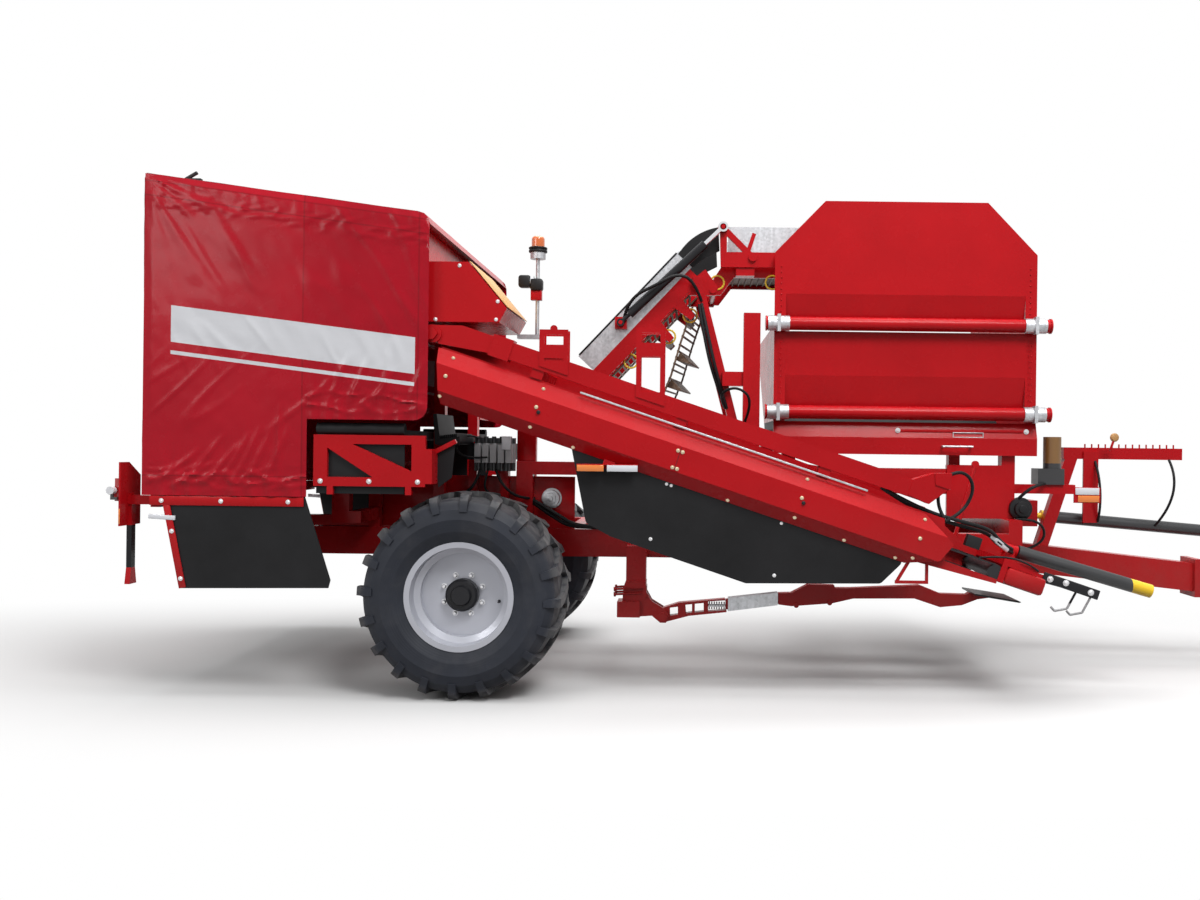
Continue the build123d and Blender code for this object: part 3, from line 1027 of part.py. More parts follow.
with BuildPart() as bunker_right_upper:
    slab([(BUNKER_REAR, 2850), (BUNKER_FRONT, 2850), (BUNKER_FRONT, BUNKER_CORNER_Z),
          (BUNKER_FRONT - BUNKER_CORNER, BUNKER_TOP), (BUNKER_REAR + BUNKER_CORNER, BUNKER_TOP),
          (BUNKER_REAR, BUNKER_CORNER_Z)], PANEL_Y, PANEL_Y + SHEET)
    cross_slab([(PANEL_Y, 2852), (PANEL_Y + SHEET, 2852), (PANEL_Y + FOLD, TUBE_Z[0] + 40),
                (PANEL_Y + FOLD - SHEET, TUBE_Z[0] + 40)], BUNKER_REAR + BUNKER_STRIP, BUNKER_FRONT - BUNKER_STRIP)
keep(bunker_right_upper, "bunker_right_upper")

with BuildPart() as bunker_right_lower:
    cross_slab([(PANEL_Y, TUBE_Z[0] - 52), (PANEL_Y, 2240), (PANEL_Y + FOLD - SHEET, TUBE_Z[1] + 40),
                (PANEL_Y + FOLD, TUBE_Z[1] + 40), (PANEL_Y + SHEET, 2240), (PANEL_Y + SHEET, TUBE_Z[0] - 52)],
               BUNKER_REAR + BUNKER_STRIP, BUNKER_FRONT - BUNKER_STRIP)
    cross_slab([(PANEL_Y, BUNKER_FLOOR), (PANEL_Y - 40, 1780), (PANEL_Y - 40, BUNKER_SILL),
                (PANEL_Y + SHEET, BUNKER_SILL), (PANEL_Y + SHEET, BUNKER_FLOOR)], BUNKER_REAR, BUNKER_FRONT)
keep(bunker_right_lower, "bunker_right_lower")


def bunker_end(top):
    """YZ outline of an end wall, following the floor."""
    return [(PANEL_Y, BUNKER_FLOOR), (KINK_Y, BUNKER_FLOOR), (BUNKER_LEFT, LEFT_EDGE), (BUNKER_LEFT, top), (PANEL_Y, top)]


with BuildPart() as bunker_end_walls:
    cross_slab(bunker_end(2850), BUNKER_FRONT - SHEET, BUNKER_FRONT)
    cross_slab([(PANEL_Y + SHEET, 2850), (BUNKER_LEFT, 2850), (BUNKER_LEFT, BUNKER_CORNER_Z),
                (PANEL_Y + SHEET, BUNKER_CORNER_Z)], BUNKER_FRONT - SHEET, BUNKER_FRONT)
    block(BUNKER_FRONT - BUNKER_STRIP, BUNKER_FRONT, PANEL_Y, PANEL_Y + SHEET, BUNKER_FLOOR, 2850)
    cross_slab(bunker_end(REAR_WALL_TOP), BUNKER_REAR, BUNKER_REAR + SHEET)
    block(BUNKER_REAR, BUNKER_REAR + BUNKER_STRIP, PANEL_Y, PANEL_Y + SHEET, BUNKER_FLOOR, 2850)
keep(bunker_end_walls, "bunker_end_walls")

with BuildPart() as bunker_floor:
    cross_slab([(PANEL_Y + SHEET, FLOOR_BEAM_TOP), (FLOOR_KINK_UNDER, FLOOR_BEAM_TOP), (BUNKER_LEFT, LEFT_EDGE - FLOOR_THICK),
                (BUNKER_LEFT, LEFT_EDGE), (KINK_Y, BUNKER_FLOOR), (PANEL_Y + SHEET, BUNKER_FLOOR)],
               BUNKER_REAR + SHEET, BUNKER_FRONT - SHEET)
keep(bunker_floor, "bunker_floor")

TUBE_Y = PANEL_Y - TUBE_RADIUS - SEAT_GAP

with BuildPart() as bunker_hinge_tubes:
    for z in TUBE_Z:
        rod((fore(2060), TUBE_Y, z), (fore(4190), TUBE_Y, z), TUBE_RADIUS)
    for z in TUBE_Z:
        for x in (fore(2060), fore(4178)):
            rod((x, TUBE_Y, z), (x + 12, TUBE_Y, z), TUBE_RADIUS + 6)
keep(bunker_hinge_tubes, "bunker_hinge_tubes")

CLAMP_WALL = 6
CLAMP_RIM = TUBE_RADIUS + SEAT_GAP + CLAMP_WALL
HANDLE_Y = PANEL_Y - 40

with BuildPart() as bunker_clamps:
    for z in TUBE_Z:
        for x in (fore(2078), fore(3990)):
            rod((x, TUBE_Y, z), (x + 160, TUBE_Y, z), CLAMP_RIM)
            block(x, x + 160, TUBE_Y, PANEL_Y + 20, z - 70, z + 70, mode=Mode.SUBTRACT)
            block(x + 68, x + 92, TUBE_Y - CLAMP_RIM - 6, TUBE_Y, z - CLAMP_RIM - 8, z + CLAMP_RIM + 8)
            rod((x - 1, TUBE_Y, z), (x + 161, TUBE_Y, z), TUBE_RADIUS + SEAT_GAP, mode=Mode.SUBTRACT)
    for x in (fore(3390), fore(3600)):
        rod((x, HANDLE_Y, 1718), (x, HANDLE_Y - 55, 1718), 8)
    rod((fore(3382), HANDLE_Y - 50, 1718), (fore(3608), HANDLE_Y - 50, 1718), 8)
keep(bunker_clamps, "bunker_clamps")

# Beacon on the end box
BEACON_X = fore(372)
BEACON_Y = -600

with BuildPart() as beacon_pole:
    block(fore(230), BEACON_X + 40, BEACON_Y - 30, BEACON_Y + 30, END_BOX_LOW - 30, END_BOX_LOW)
    rod((BEACON_X, BEACON_Y, 2490), (BEACON_X, BEACON_Y, 3067), 14)
    rod((BEACON_X, BEACON_Y, 3060), (BEACON_X, BEACON_Y, 3105), 56)
    rod((fore(300), BEACON_Y, 2890), (fore(345), BEACON_Y, 2890), 45)
    block(fore(340), BEACON_X, BEACON_Y - 12, BEACON_Y + 12, 2875, 2905)
keep(beacon_pole, "beacon_pole")

with BuildPart() as beacon:
    rod((BEACON_X, BEACON_Y, 3105), (BEACON_X, BEACON_Y, 3229), 48)
    fillet(beacon.edges().group_by(Axis.Z)[-1], radius=26)
keep(beacon, "beacon")

# Drawbar
DRAW_RIGHT = DRAWBAR_Y - DRAWBAR_WIDTH / 2
DRAW_LEFT = DRAWBAR_Y + DRAWBAR_WIDTH / 2
HALF_BAR = DRAWBAR_HEIGHT / 2

with BuildPart() as drawbar_beam:
    slab([(RAIL_FRONT, DRAWBAR_ROOT_Z - HALF_BAR), (DRAWBAR_FRONT, DRAWBAR_FRONT_Z - HALF_BAR),
          (DRAWBAR_FRONT, DRAWBAR_FRONT_Z + HALF_BAR), (RAIL_FRONT, DRAWBAR_ROOT_Z + HALF_BAR)], DRAW_RIGHT, DRAW_LEFT)
    slab([(RAIL_FRONT, DRAWBAR_ROOT_Z), (fore(4300), DRAWBAR_ROOT_Z), (RAIL_FRONT, RAIL_TOP)], DRAW_RIGHT + 30,
         DRAW_LEFT - 30)
    block(DRAWBAR_FRONT - FLANGE, DRAWBAR_FRONT, DRAW_RIGHT - 40, DRAW_LEFT + 40, DRAWBAR_FRONT_Z - HALF_BAR - 40,
          DRAWBAR_FRONT_Z + HALF_BAR + 40)
keep(drawbar_beam, "drawbar_beam")

JACK_Y = DRAW_RIGHT - JACK_TUBE / 2
JACK_LOW = 420
JACK_HIGH = 1180
JACK_SLIDE = 0.5
CRADLE_X = fore(6100)
CRADLE_Z = 970

with BuildPart() as drawbar_head:
    block(DRAWBAR_FRONT, DRAWBAR_FRONT + FLANGE, DRAW_RIGHT - 40, DRAW_LEFT + 40, DRAWBAR_FRONT_Z - HALF_BAR - 40,
          DRAWBAR_FRONT_Z + HALF_BAR + 40)
    slab([(DRAWBAR_FRONT + FLANGE, DRAWBAR_FRONT_Z - HALF_BAR), (EYE_X - 180, EYE_Z - 50), (EYE_X - 180, EYE_Z + 50),
          (DRAWBAR_FRONT + FLANGE, DRAWBAR_FRONT_Z + HALF_BAR)], DRAW_RIGHT, DRAW_LEFT)
    slab([(EYE_X - 190, EYE_Z - EYE_HEIGHT / 2), (EYE_X, EYE_Z - EYE_HEIGHT / 2), (EYE_X, EYE_Z + EYE_HEIGHT / 2),
          (EYE_X - 190, EYE_Z + EYE_HEIGHT / 2)], DRAWBAR_Y - EYE_RADIUS, DRAWBAR_Y + EYE_RADIUS)
    rod((EYE_X, DRAWBAR_Y, EYE_Z - EYE_HEIGHT / 2), (EYE_X, DRAWBAR_Y, EYE_Z + EYE_HEIGHT / 2), EYE_RADIUS)
    rod((EYE_X, DRAWBAR_Y, EYE_Z - EYE_HEIGHT), (EYE_X, DRAWBAR_Y, EYE_Z + EYE_HEIGHT), EYE_BORE, mode=Mode.SUBTRACT)
    block(CRADLE_X - 20, CRADLE_X + 20, DRAW_LEFT - 5, PTO_Y + 80, EYE_Z, EYE_Z + 40)
    block(CRADLE_X - 20, CRADLE_X + 20, PTO_Y + 55, PTO_Y + 80, EYE_Z, 1040)
    block(CRADLE_X - 20, CRADLE_X + 20, PTO_Y - 60, PTO_Y + 60, CRADLE_Z - 30, CRADLE_Z)
    block(JACK_X - JACK_TUBE / 2, JACK_X + JACK_TUBE / 2, JACK_Y - JACK_TUBE / 2, JACK_Y + JACK_TUBE / 2, JACK_LOW,
          JACK_HIGH)
    block(JACK_X - JACK_LEG / 2 - JACK_SLIDE, JACK_X + JACK_LEG / 2 + JACK_SLIDE, JACK_Y - JACK_LEG / 2 - JACK_SLIDE,
          JACK_Y + JACK_LEG / 2 + JACK_SLIDE, JACK_LOW, JACK_HIGH - 20, mode=Mode.SUBTRACT)
keep(drawbar_head, "drawbar_head")

with BuildPart() as jack_leg:
    block(JACK_X - JACK_LEG / 2, JACK_X + JACK_LEG / 2, JACK_Y - JACK_LEG / 2, JACK_Y + JACK_LEG / 2, 0, 740)
    block(JACK_X - 125, JACK_X + 125, JACK_Y - 125, JACK_Y + 125, 0, 15)
keep(jack_leg, "jack_leg")

# Front end: hose rail, valve gear, shaft
HOSE_Y = DRAWBAR_Y



def drawbar_top(x):
    """Height of the drawbar's upper face."""
    fall = (DRAWBAR_ROOT_Z - DRAWBAR_FRONT_Z) / (DRAWBAR_FRONT - RAIL_FRONT)
    return DRAWBAR_ROOT_Z + HALF_BAR - (x - RAIL_FRONT) * fall


with BuildPart() as hose_rail:
    block(fore(4526), fore(5483), HOSE_Y - 40, HOSE_Y + 40, HOSE_RAIL_Z, HOSE_RAIL_Z + 93)
    slab([(fore(4310), drawbar_top(fore(4310))), (fore(4410), drawbar_top(fore(4410))),
          (fore(4640), HOSE_RAIL_Z + 10), (fore(4540), HOSE_RAIL_Z + 10)], HOSE_Y - 40, HOSE_Y + 40)
    block(fore(4680), fore(4800), HOSE_Y - 60, HOSE_Y - 40, 1118, HOSE_RAIL_Z + 60)
    for step in range(14):
        x = fore(4700 + step * 55)
        rod((x, HOSE_Y - 30, HOSE_RAIL_Z + 90), (x, HOSE_Y - 30, HOSE_RAIL_Z + 122), 6)
keep(hose_rail, "hose_rail")


CLUSTER_TOP = 1750

with BuildPart() as valve_block:
    block(fore(4130), fore(4330), VALVE_Y - 80, VALVE_Y + 80, 1440, 1560)
    rod((fore(4262), VALVE_Y, 1560), (fore(4262), VALVE_Y, 1800), 66)
    block(fore(-60), fore(235), -RAIL_OUTER - 40, -RAIL_OUTER, 1500, CLUSTER_TOP - 10)
    for step in range(5):
        x = fore(-45 + step * 56)
        block(x, x + 44, -RAIL_OUTER - 120, -RAIL_OUTER - 40, 1560, CLUSTER_TOP - 60)
        rod((x + 22, -RAIL_OUTER - 80, CLUSTER_TOP - 60), (x + 22, -RAIL_OUTER - 80, CLUSTER_TOP), 16)
        rod((x + 22, -RAIL_OUTER - 80, 1500), (x + 22, -RAIL_OUTER - 80, 1560), 14)
keep(valve_block, "valve_block")

PTO_START = (GEAR_FRONT + 60, PTO_Y, 1160)
PTO_END = (fore(6280), PTO_Y, 1011)

with BuildPart() as pto_shaft:
    rod(PTO_START, PTO_END, PTO_RADIUS)
    rod((GEAR_FRONT, PTO_Y, 1160), (GEAR_FRONT + 80, PTO_Y, 1160), 25)
keep(pto_shaft, "pto_shaft")
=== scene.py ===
"""Looks of a trailed side-digging potato harvester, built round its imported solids.

Metres. +X is forward along the row, +Y is the machine's left, +Z is up.
"""
import json
import logging
import math
from dataclasses import dataclass
from enum import Enum
from typing import Callable, Iterable, Optional, Sequence, Union

import bpy
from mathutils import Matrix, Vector, noise

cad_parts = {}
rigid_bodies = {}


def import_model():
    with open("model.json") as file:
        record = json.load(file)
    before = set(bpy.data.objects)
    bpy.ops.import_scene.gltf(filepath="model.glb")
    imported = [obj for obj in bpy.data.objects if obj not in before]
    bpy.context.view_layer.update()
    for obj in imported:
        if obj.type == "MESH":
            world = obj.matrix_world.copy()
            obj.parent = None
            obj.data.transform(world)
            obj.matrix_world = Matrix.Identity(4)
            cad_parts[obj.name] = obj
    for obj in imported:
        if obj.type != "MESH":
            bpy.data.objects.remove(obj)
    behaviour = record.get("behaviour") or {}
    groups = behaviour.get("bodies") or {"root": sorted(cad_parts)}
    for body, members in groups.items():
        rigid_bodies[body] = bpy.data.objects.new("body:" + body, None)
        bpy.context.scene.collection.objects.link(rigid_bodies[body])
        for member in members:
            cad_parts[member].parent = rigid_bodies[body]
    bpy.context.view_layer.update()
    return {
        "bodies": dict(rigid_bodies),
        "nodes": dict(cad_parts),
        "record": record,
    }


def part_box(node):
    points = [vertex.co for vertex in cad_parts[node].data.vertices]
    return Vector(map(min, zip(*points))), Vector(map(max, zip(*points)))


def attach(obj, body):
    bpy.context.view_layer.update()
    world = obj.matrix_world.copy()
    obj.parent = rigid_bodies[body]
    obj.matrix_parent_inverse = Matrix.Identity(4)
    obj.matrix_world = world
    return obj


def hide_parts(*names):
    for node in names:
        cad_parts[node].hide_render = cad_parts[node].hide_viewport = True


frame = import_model()

log = logging.getLogger("harvester")
Point = tuple[float, float, float]
Flat = tuple[float, float]
Value = Union["Signal", float, Sequence[float]]

AXLE_X = -2.120
AXLE_Z = 0.6865
END_BOX_SIDE = -1.401
PITCH = math.radians(18.2)
LIFT_PITCH = math.radians(47)
SMOOTH_ANGLE = math.radians(35)
EDGE = 0.003
PROUD = 0.001
SQUARE = 0.9


def fore(distance: float) -> float:
    """X of a point this far ahead of the axle."""
    return AXLE_X + distance


def intake_point(along: float, above: float, y: float) -> Point:
    """A point of the slanting intake.

    Args:
        along: distance down the channel from its rear pivot.
        above: distance square to the channel.
        y: place across the machine.

    Returns:
        The point in the machine's frame.
    """
    x = fore(-0.2) + along * math.cos(PITCH) + above * math.sin(PITCH)
    return (x, y, 2.42 - along * math.sin(PITCH) + above * math.cos(PITCH))


def lift_point(along: float, above: float, y: float) -> Point:
    """A point of the elevator.

    Args:
        along: distance up the elevator.
        above: distance square to it.
        y: place across the machine.

    Returns:
        The point in the machine's frame.
    """
    x = fore(0.76) + along * math.cos(LIFT_PITCH) - above * math.sin(LIFT_PITCH)
    return (x, y, 2.268 + along * math.sin(LIFT_PITCH) + above * math.cos(LIFT_PITCH))


class Slot(Enum):
    """The record's material slots."""

    RED = "red_paint"
    TARP = "tarp"
    ZINC = "zinc"
    WEB = "rod_web"
    RUBBER = "black_rubber"
    TYRE = "tyre"
    RIM = "rim_silver"
    BLACK = "black_paint"
    CHROME = "chrome"
    AMBER = "amber"
    LAMP = "lamp_red"
    PLASTIC = "black_plastic"


class Facing(Enum):
    """Outward directions that fasteners and plates take."""

    RIGHT = (0.0, -1.0, 0.0)
    LEFT = (0.0, 1.0, 0.0)
    UP = (0.0, 0.0, 1.0)


class Signal:
    """A shader socket with arithmetic."""

    def __init__(self, graph: "Graph", socket: bpy.types.NodeSocket) -> None:
        """Keep the socket and the graph it belongs to."""
        self.graph = graph
        self.socket = socket

    def _math(self, operation: str, first: Value, second: Value) -> "Signal":
        """One Math node of two values."""
        return self.graph.node("ShaderNodeMath", {"operation": operation}, {0: first, 1: second})

    def __add__(self, other: Value) -> "Signal":
        """Sum."""
        return self._math("ADD", self, other)

    def __sub__(self, other: Value) -> "Signal":
        """Difference."""
        return self._math("SUBTRACT", self, other)

    def __rsub__(self, other: Value) -> "Signal":
        """Difference from a number."""
        return self._math("SUBTRACT", other, self)

    def __mul__(self, other: Value) -> "Signal":
        """Product."""
        return self._math("MULTIPLY", self, other)

    def __gt__(self, other: Value) -> "Signal":
        """1 where larger."""
        return self._math("GREATER_THAN", self, other)

    def __lt__(self, other: Value) -> "Signal":
        """1 where smaller."""
        return self._math("LESS_THAN", self, other)

    def __pow__(self, other: Value) -> "Signal":
        """Power."""
        return self._math("POWER", self, other)


class Graph:
    """A node tree under construction."""

    def __init__(self, tree: bpy.types.NodeTree, coordinates: str) -> None:
        """Keep the tree and the coordinates that its textures follow."""
        self.tree = tree
        self.place = self.node("ShaderNodeTexCoord", {}, {}, coordinates)

    def node(self, kind: str, settings: dict, inputs: dict, output: Union[int, str] = 0) -> Signal:
        """Add a node.

        Args:
            kind: the node's type.
            settings: its own settings, ramp stops among them.
            inputs: values or signals by socket.
            output: the socket to read.

        Returns:
            The wrapped output.
        """
        made = self.tree.nodes.new(kind)
        for key, setting in settings.items():
            if key == "stops":
                ramp = made.color_ramp
                while len(ramp.elements) < len(setting):
                    ramp.elements.new(0.5)
                for element, (spot, colour) in zip(ramp.elements, setting):
                    element.position = spot
                    element.color = (*colour, 1.0)
            else:
                setattr(made, key, setting)
        for key, value in inputs.items():
            self.feed(made.inputs[key], value)
        return Signal(self, made.outputs[output])

    def feed(self, socket: bpy.types.NodeSocket, value: Value) -> None:
        """Link a signal to a socket, or set a constant on it."""
        if isinstance(value, Signal):
            self.tree.links.new(value.socket, socket)
        elif isinstance(value, (tuple, list)) and len(value) == 3 and socket.type == "RGBA":
            socket.default_value = (*value, 1.0)
        else:
            socket.default_value = value

    def axes(self) -> tuple[Signal, Signal, Signal]:
        """The coordinates as three signals."""
        split = self.node("ShaderNodeSeparateXYZ", {}, {0: self.place})
        outputs = split.socket.node.outputs
        return tuple(Signal(self, outputs[axis]) for axis in range(3))

    def cloud(self, scale: float, detail: float = 3.0, rough: float = 0.55,
              stretch: Optional[Point] = None) -> Signal:
        """Noise from 0 to 1 over the surface.

        Args:
            scale: cells to the metre.
            detail: octaves.
            rough: weight of the finer octaves.
            stretch: scale of each axis, where they differ.

        Returns:
            The noise value.
        """
        place = self.place
        if stretch:
            place = self.node("ShaderNodeMapping", {}, {"Vector": place, "Scale": stretch})
        inputs = {"Vector": place, "Scale": scale, "Detail": detail, "Roughness": rough}
        return self.node("ShaderNodeTexNoise", {}, inputs)

    def ramp(self, value: Signal, *stops: tuple[float, Point]) -> Signal:
        """A colour ramp over a value."""
        return self.node("ShaderNodeValToRGB", {"stops": stops}, {0: value})

    def step(self, value: Signal, low: float, high: float) -> Signal:
        """A smooth rise from 0 to 1 between two values."""
        settings = {"interpolation_type": "SMOOTHSTEP"}
        return self.node("ShaderNodeMapRange", settings, {"Value": value, "From Min": low, "From Max": high})

    def sight(self) -> Signal:
        """One for the rays that show the background: straight, mirrored or through glass."""
        missed: Value = 1.0
        for kind in ("Is Camera Ray", "Is Glossy Ray", "Is Transmission Ray"):
            missed = (1.0 - self.node("ShaderNodeLightPath", {}, {}, kind)) * missed
        return 1.0 - missed

    def blend(self, share: Value, first: Value, second: Value) -> Signal:
        """Mix two colours."""
        settings = {"data_type": "RGBA"}
        mix = self.node("ShaderNodeMix", settings, {0: share}, 2)
        self.feed(mix.socket.node.inputs[6], first)
        self.feed(mix.socket.node.inputs[7], second)
        return mix


class Shader(Graph):
    """One procedural material on the object's own coordinates."""

    def __init__(self, name: str) -> None:
        """Start a material with a bare Principled shader."""
        self.material = bpy.data.materials.new(name)
        self.material.use_nodes = True
        super().__init__(self.material.node_tree, "Object")
        self.body = self.tree.nodes["Principled BSDF"]

    def constants(self, **values: float) -> None:
        """Set the Principled shader's own sockets."""
        for key, value in values.items():
            self.feed(self.body.inputs[key.replace("_", " ")], value)

    def bump(self, height: Signal, strength: float, distance: float) -> None:
        """Raise the surface by a height signal."""
        inputs = {"Strength": strength, "Distance": distance, "Height": height}
        self.feed(self.body.inputs["Normal"], self.node("ShaderNodeBump", {}, inputs))


@dataclass(frozen=True)
class Finish:
    """A painted surface with faint unevenness, dust and orange peel."""

    name: str
    colour: Point
    rough: float = 0.3
    metal: float = 0.0
    coat: float = 0.0
    uneven: float = 0.12
    dust: float = 0.0
    grain: float = 220.0
    relief: float = 0.0004
    gloss: float = 0.5

    def colours(self, shader: Shader) -> Signal:
        """Base colour over the surface."""
        dark = tuple(part * (1 - self.uneven) for part in self.colour)
        light = tuple(min(1.0, part * (1 + self.uneven)) for part in self.colour)
        base = shader.ramp(shader.cloud(2.3, 5.0), (0.3, dark), (0.7, light))
        if not self.dust:
            return base
        height = shader.axes()[2]
        low = shader.step(height, 1.5, 0.2) * shader.cloud(9.0, 6.0) * self.dust
        return shader.blend(low, base, (0.16, 0.12, 0.10))

    def heights(self, shader: Shader) -> Signal:
        """Relief of the surface."""
        return shader.cloud(self.grain, 2.0)

    def make(self) -> bpy.types.Material:
        """Build the material.

        Returns:
            The finished material.
        """
        shader = Shader(self.name)
        shader.feed(shader.body.inputs["Base Color"], self.colours(shader))
        spread = shader.cloud(6.0, 4.0) * 0.16 - 0.08 + self.rough
        shader.feed(shader.body.inputs["Roughness"], spread)
        shader.constants(Metallic=self.metal, Coat_Weight=self.coat, Coat_Roughness=0.06,
                         Specular_IOR_Level=self.gloss)
        shader.bump(self.heights(shader), 0.25, self.relief)
        self.extras(shader)
        return shader.material

    def extras(self, shader: Shader) -> None:
        """Further sockets of special finishes."""


@dataclass(frozen=True)
class Zone:
    """A box of space in which a surface has another colour."""

    low: Point
    high: Point
    colour: Point


@dataclass(frozen=True)
class ZonedFinish(Finish):
    """A paint with parts in other colours."""

    zones: tuple[Zone, ...] = ()

    def colours(self, shader: Shader) -> Signal:
        """The paint, with each zone laid over it."""
        base = super().colours(shader)
        for zone in self.zones:
            inside: Value = 1.0
            for axis, low, high in zip(shader.axes(), zone.low, zone.high):
                inside = (axis > low) * (axis < high) * inside
            base = shader.blend(inside, base, zone.colour)
        return base


@dataclass(frozen=True)
class TarpFinish(Finish):
    """Red coated tarpaulin with a plain white band and a welded seam."""

    band: Point = (0.62, 0.63, 0.66)
    stripes: tuple[Flat, ...] = ((2.34, 2.58), (2.26, 2.285))
    stripe_rear: float = fore(-1.9)
    stripe_front: float = fore(-0.3)
    stripe_slope: float = 0.12
    roof_rear: float = fore(-2.085)
    roof_slope: float = 0.128
    seam: float = fore(-1.035)
    hung: float = 1.42

    def colours(self, shader: Shader) -> Signal:
        """Red with a painted sheen that makes the rear panel behind the seam lighter, one broad stripe, a thin
        line under it and darker weld lines.
        """
        x, y, z = shader.axes()
        base = super().colours(shader)
        # Painted sheen: the cloth panel behind the seam is painted lighter, standing in for the sheen it catches.
        panel = shader.step(x, self.seam + 0.001, self.seam - 0.001)
        base = shader.blend(panel * 0.22, base, (0.50, 0.010, 0.022))
        roof = z + (x - self.roof_rear) * self.roof_slope
        welds: Value = 0.0
        for place, spot in ((x, self.seam), (x, fore(-0.28)), (z, 1.465), (roof, 3.305), (roof, 3.40)):
            welds = shader.step(((place - spot) * (place - spot)) ** 0.5, 0.007, 0.003) + welds
        base = shader.blend(welds * 0.4, base, (0.13, 0.002, 0.005))
        level = z + (x - self.stripe_rear) * self.stripe_slope
        broad, thin = ((level > low) * (level < high) for low, high in self.stripes)
        ends = (x > self.stripe_rear) * (x < self.stripe_front)
        sides = ((y * y) > self.hung ** 2) * ends
        return shader.blend((broad + thin) * sides, base, self.band)

    def heights(self, shader: Shader) -> Signal:
        """Fine crumples over a fine weave."""
        weave = shader.cloud(900.0, 1.0) * 0.15
        return shader.cloud(14.0, 5.0, 0.6, (1.0, 1.0, 1.6)) * 1.2 + weave


@dataclass(frozen=True)
class ZincFinish(Finish):
    """Galvanised sheet with pale spangles and streaks."""

    def colours(self, shader: Shader) -> Signal:
        """Grey crystals with vertical streaks."""
        inputs = {"Vector": shader.place, "Scale": 60.0}
        cells = shader.node("ShaderNodeTexVoronoi", {"feature": "F1"}, inputs, "Color")
        grey = shader.node("ShaderNodeRGBToBW", {}, {0: cells})
        streak = shader.cloud(7.0, 4.0, 0.6, (4.0, 4.0, 0.6))
        dark = tuple(part * 0.72 for part in self.colour)
        light = tuple(min(1.0, part * 1.18) for part in self.colour)
        return shader.ramp(grey * 0.35 + streak * 0.65, (0.25, dark), (0.75, light))


@dataclass(frozen=True)
class WebFinish(Finish):
    """Worn steel rods with brown rust."""

    def colours(self, shader: Shader) -> Signal:
        """Rust brown broken by dark and bright worn places."""
        spots = shader.cloud(24.0, 6.0, 0.65)
        dark, worn = (0.030, 0.022, 0.018), (0.24, 0.18, 0.13)
        return shader.ramp(spots, (0.30, dark), (0.50, self.colour), (0.72, worn))


@dataclass(frozen=True)
class TyreFinish(Finish):
    """Blue-black tyre rubber, greyed on the lug tops, with fine rings on the walls."""

    def _radius(self, shader: Shader) -> Signal:
        """Distance from the wheel's axis."""
        x, _, z = shader.axes()
        across, up = x - AXLE_X, z - AXLE_Z
        return (across * across + up * up) ** 0.5

    def colours(self, shader: Shader) -> Signal:
        """Dark rubber with dusty lug tops and paler patches."""
        base = super().colours(shader)
        radius = self._radius(shader)
        worn = shader.step(radius, 0.600, 0.678) * shader.step(shader.cloud(16.0, 5.0), 0.25, 0.6)
        base = shader.blend(worn * 0.8, base, (0.120, 0.118, 0.118))
        film = shader.step(shader.cloud(5.0, 6.0), 0.42, 0.75) * 0.35
        return shader.blend(film, base, (0.060, 0.060, 0.066))

    def heights(self, shader: Shader) -> Signal:
        """Moulded rings and a fine rubber grain."""
        radius = self._radius(shader)
        rings = shader.node("ShaderNodeMath", {"operation": "SINE"}, {0: radius * 420.0})
        wall = shader.step(radius, 0.36, 0.38) * shader.step(radius, 0.50, 0.47)
        return rings * wall * 0.5 + shader.cloud(160.0, 3.0) * 0.5


@dataclass(frozen=True)
class LensFinish(Finish):
    """Moulded lamp plastic with fine prism ribs."""

    def heights(self, shader: Shader) -> Signal:
        """Small upright ribs."""
        x, y, _ = shader.axes()
        return shader.node("ShaderNodeMath", {"operation": "SINE"}, {0: (x + y) * 900.0})


RED = Finish("red_gloss_paint", (0.45, 0.006, 0.010), 0.27, coat=0.05, uneven=0.07, dust=0.35, gloss=0.12)
FINISHES: dict[Slot, Finish] = {
    Slot.RED: RED,
    Slot.TARP: TarpFinish("coated_tarp", (0.36, 0.002, 0.012), 0.26, coat=0.06, uneven=0.10, relief=0.003,
                          gloss=0.14),
    Slot.ZINC: ZincFinish("galvanised_sheet", (0.50, 0.51, 0.53), 0.42, metal=0.75, relief=0.0003),
    Slot.WEB: WebFinish("worn_rods", (0.105, 0.060, 0.036), 0.55, metal=0.4, relief=0.0008),
    Slot.RUBBER: Finish("black_rubber_sheet", (0.014, 0.014, 0.015), 0.52, uneven=0.3, grain=90.0, relief=0.0006,
                        gloss=0.14),
    Slot.TYRE: TyreFinish("tyre_rubber", (0.022, 0.025, 0.034), 0.55, uneven=0.25, relief=0.0012, gloss=0.22),
    Slot.RIM: Finish("silver_rim_paint", (0.45, 0.46, 0.51), 0.34, metal=0.25, coat=0.2, uneven=0.06),
    Slot.BLACK: Finish("black_paint", (0.013, 0.013, 0.015), 0.33, coat=0.05, uneven=0.3, gloss=0.2),
    Slot.CHROME: Finish("hard_chrome", (0.72, 0.73, 0.75), 0.14, metal=1.0, uneven=0.04, relief=0.0001),
    Slot.AMBER: LensFinish("amber_lens", (0.80, 0.20, 0.012), 0.18, coat=0.8, uneven=0.10, relief=0.0008),
    Slot.LAMP: LensFinish("red_lens", (0.36, 0.008, 0.010), 0.18, coat=0.8, uneven=0.10, relief=0.0008),
    Slot.PLASTIC: Finish("black_plastic", (0.014, 0.014, 0.015), 0.45, uneven=0.25, relief=0.0006, gloss=0.2),
}
BOLT_GOLD = Finish("passivated_bolts", (0.62, 0.52, 0.36), 0.34, metal=0.8, uneven=0.15)
BOLT_BRIGHT = Finish("bright_bolts", (0.70, 0.70, 0.71), 0.30, metal=0.7, uneven=0.10)
YELLOW = Finish("yellow_ring_plastic", (0.72, 0.52, 0.02), 0.40, coat=0.2, uneven=0.12)
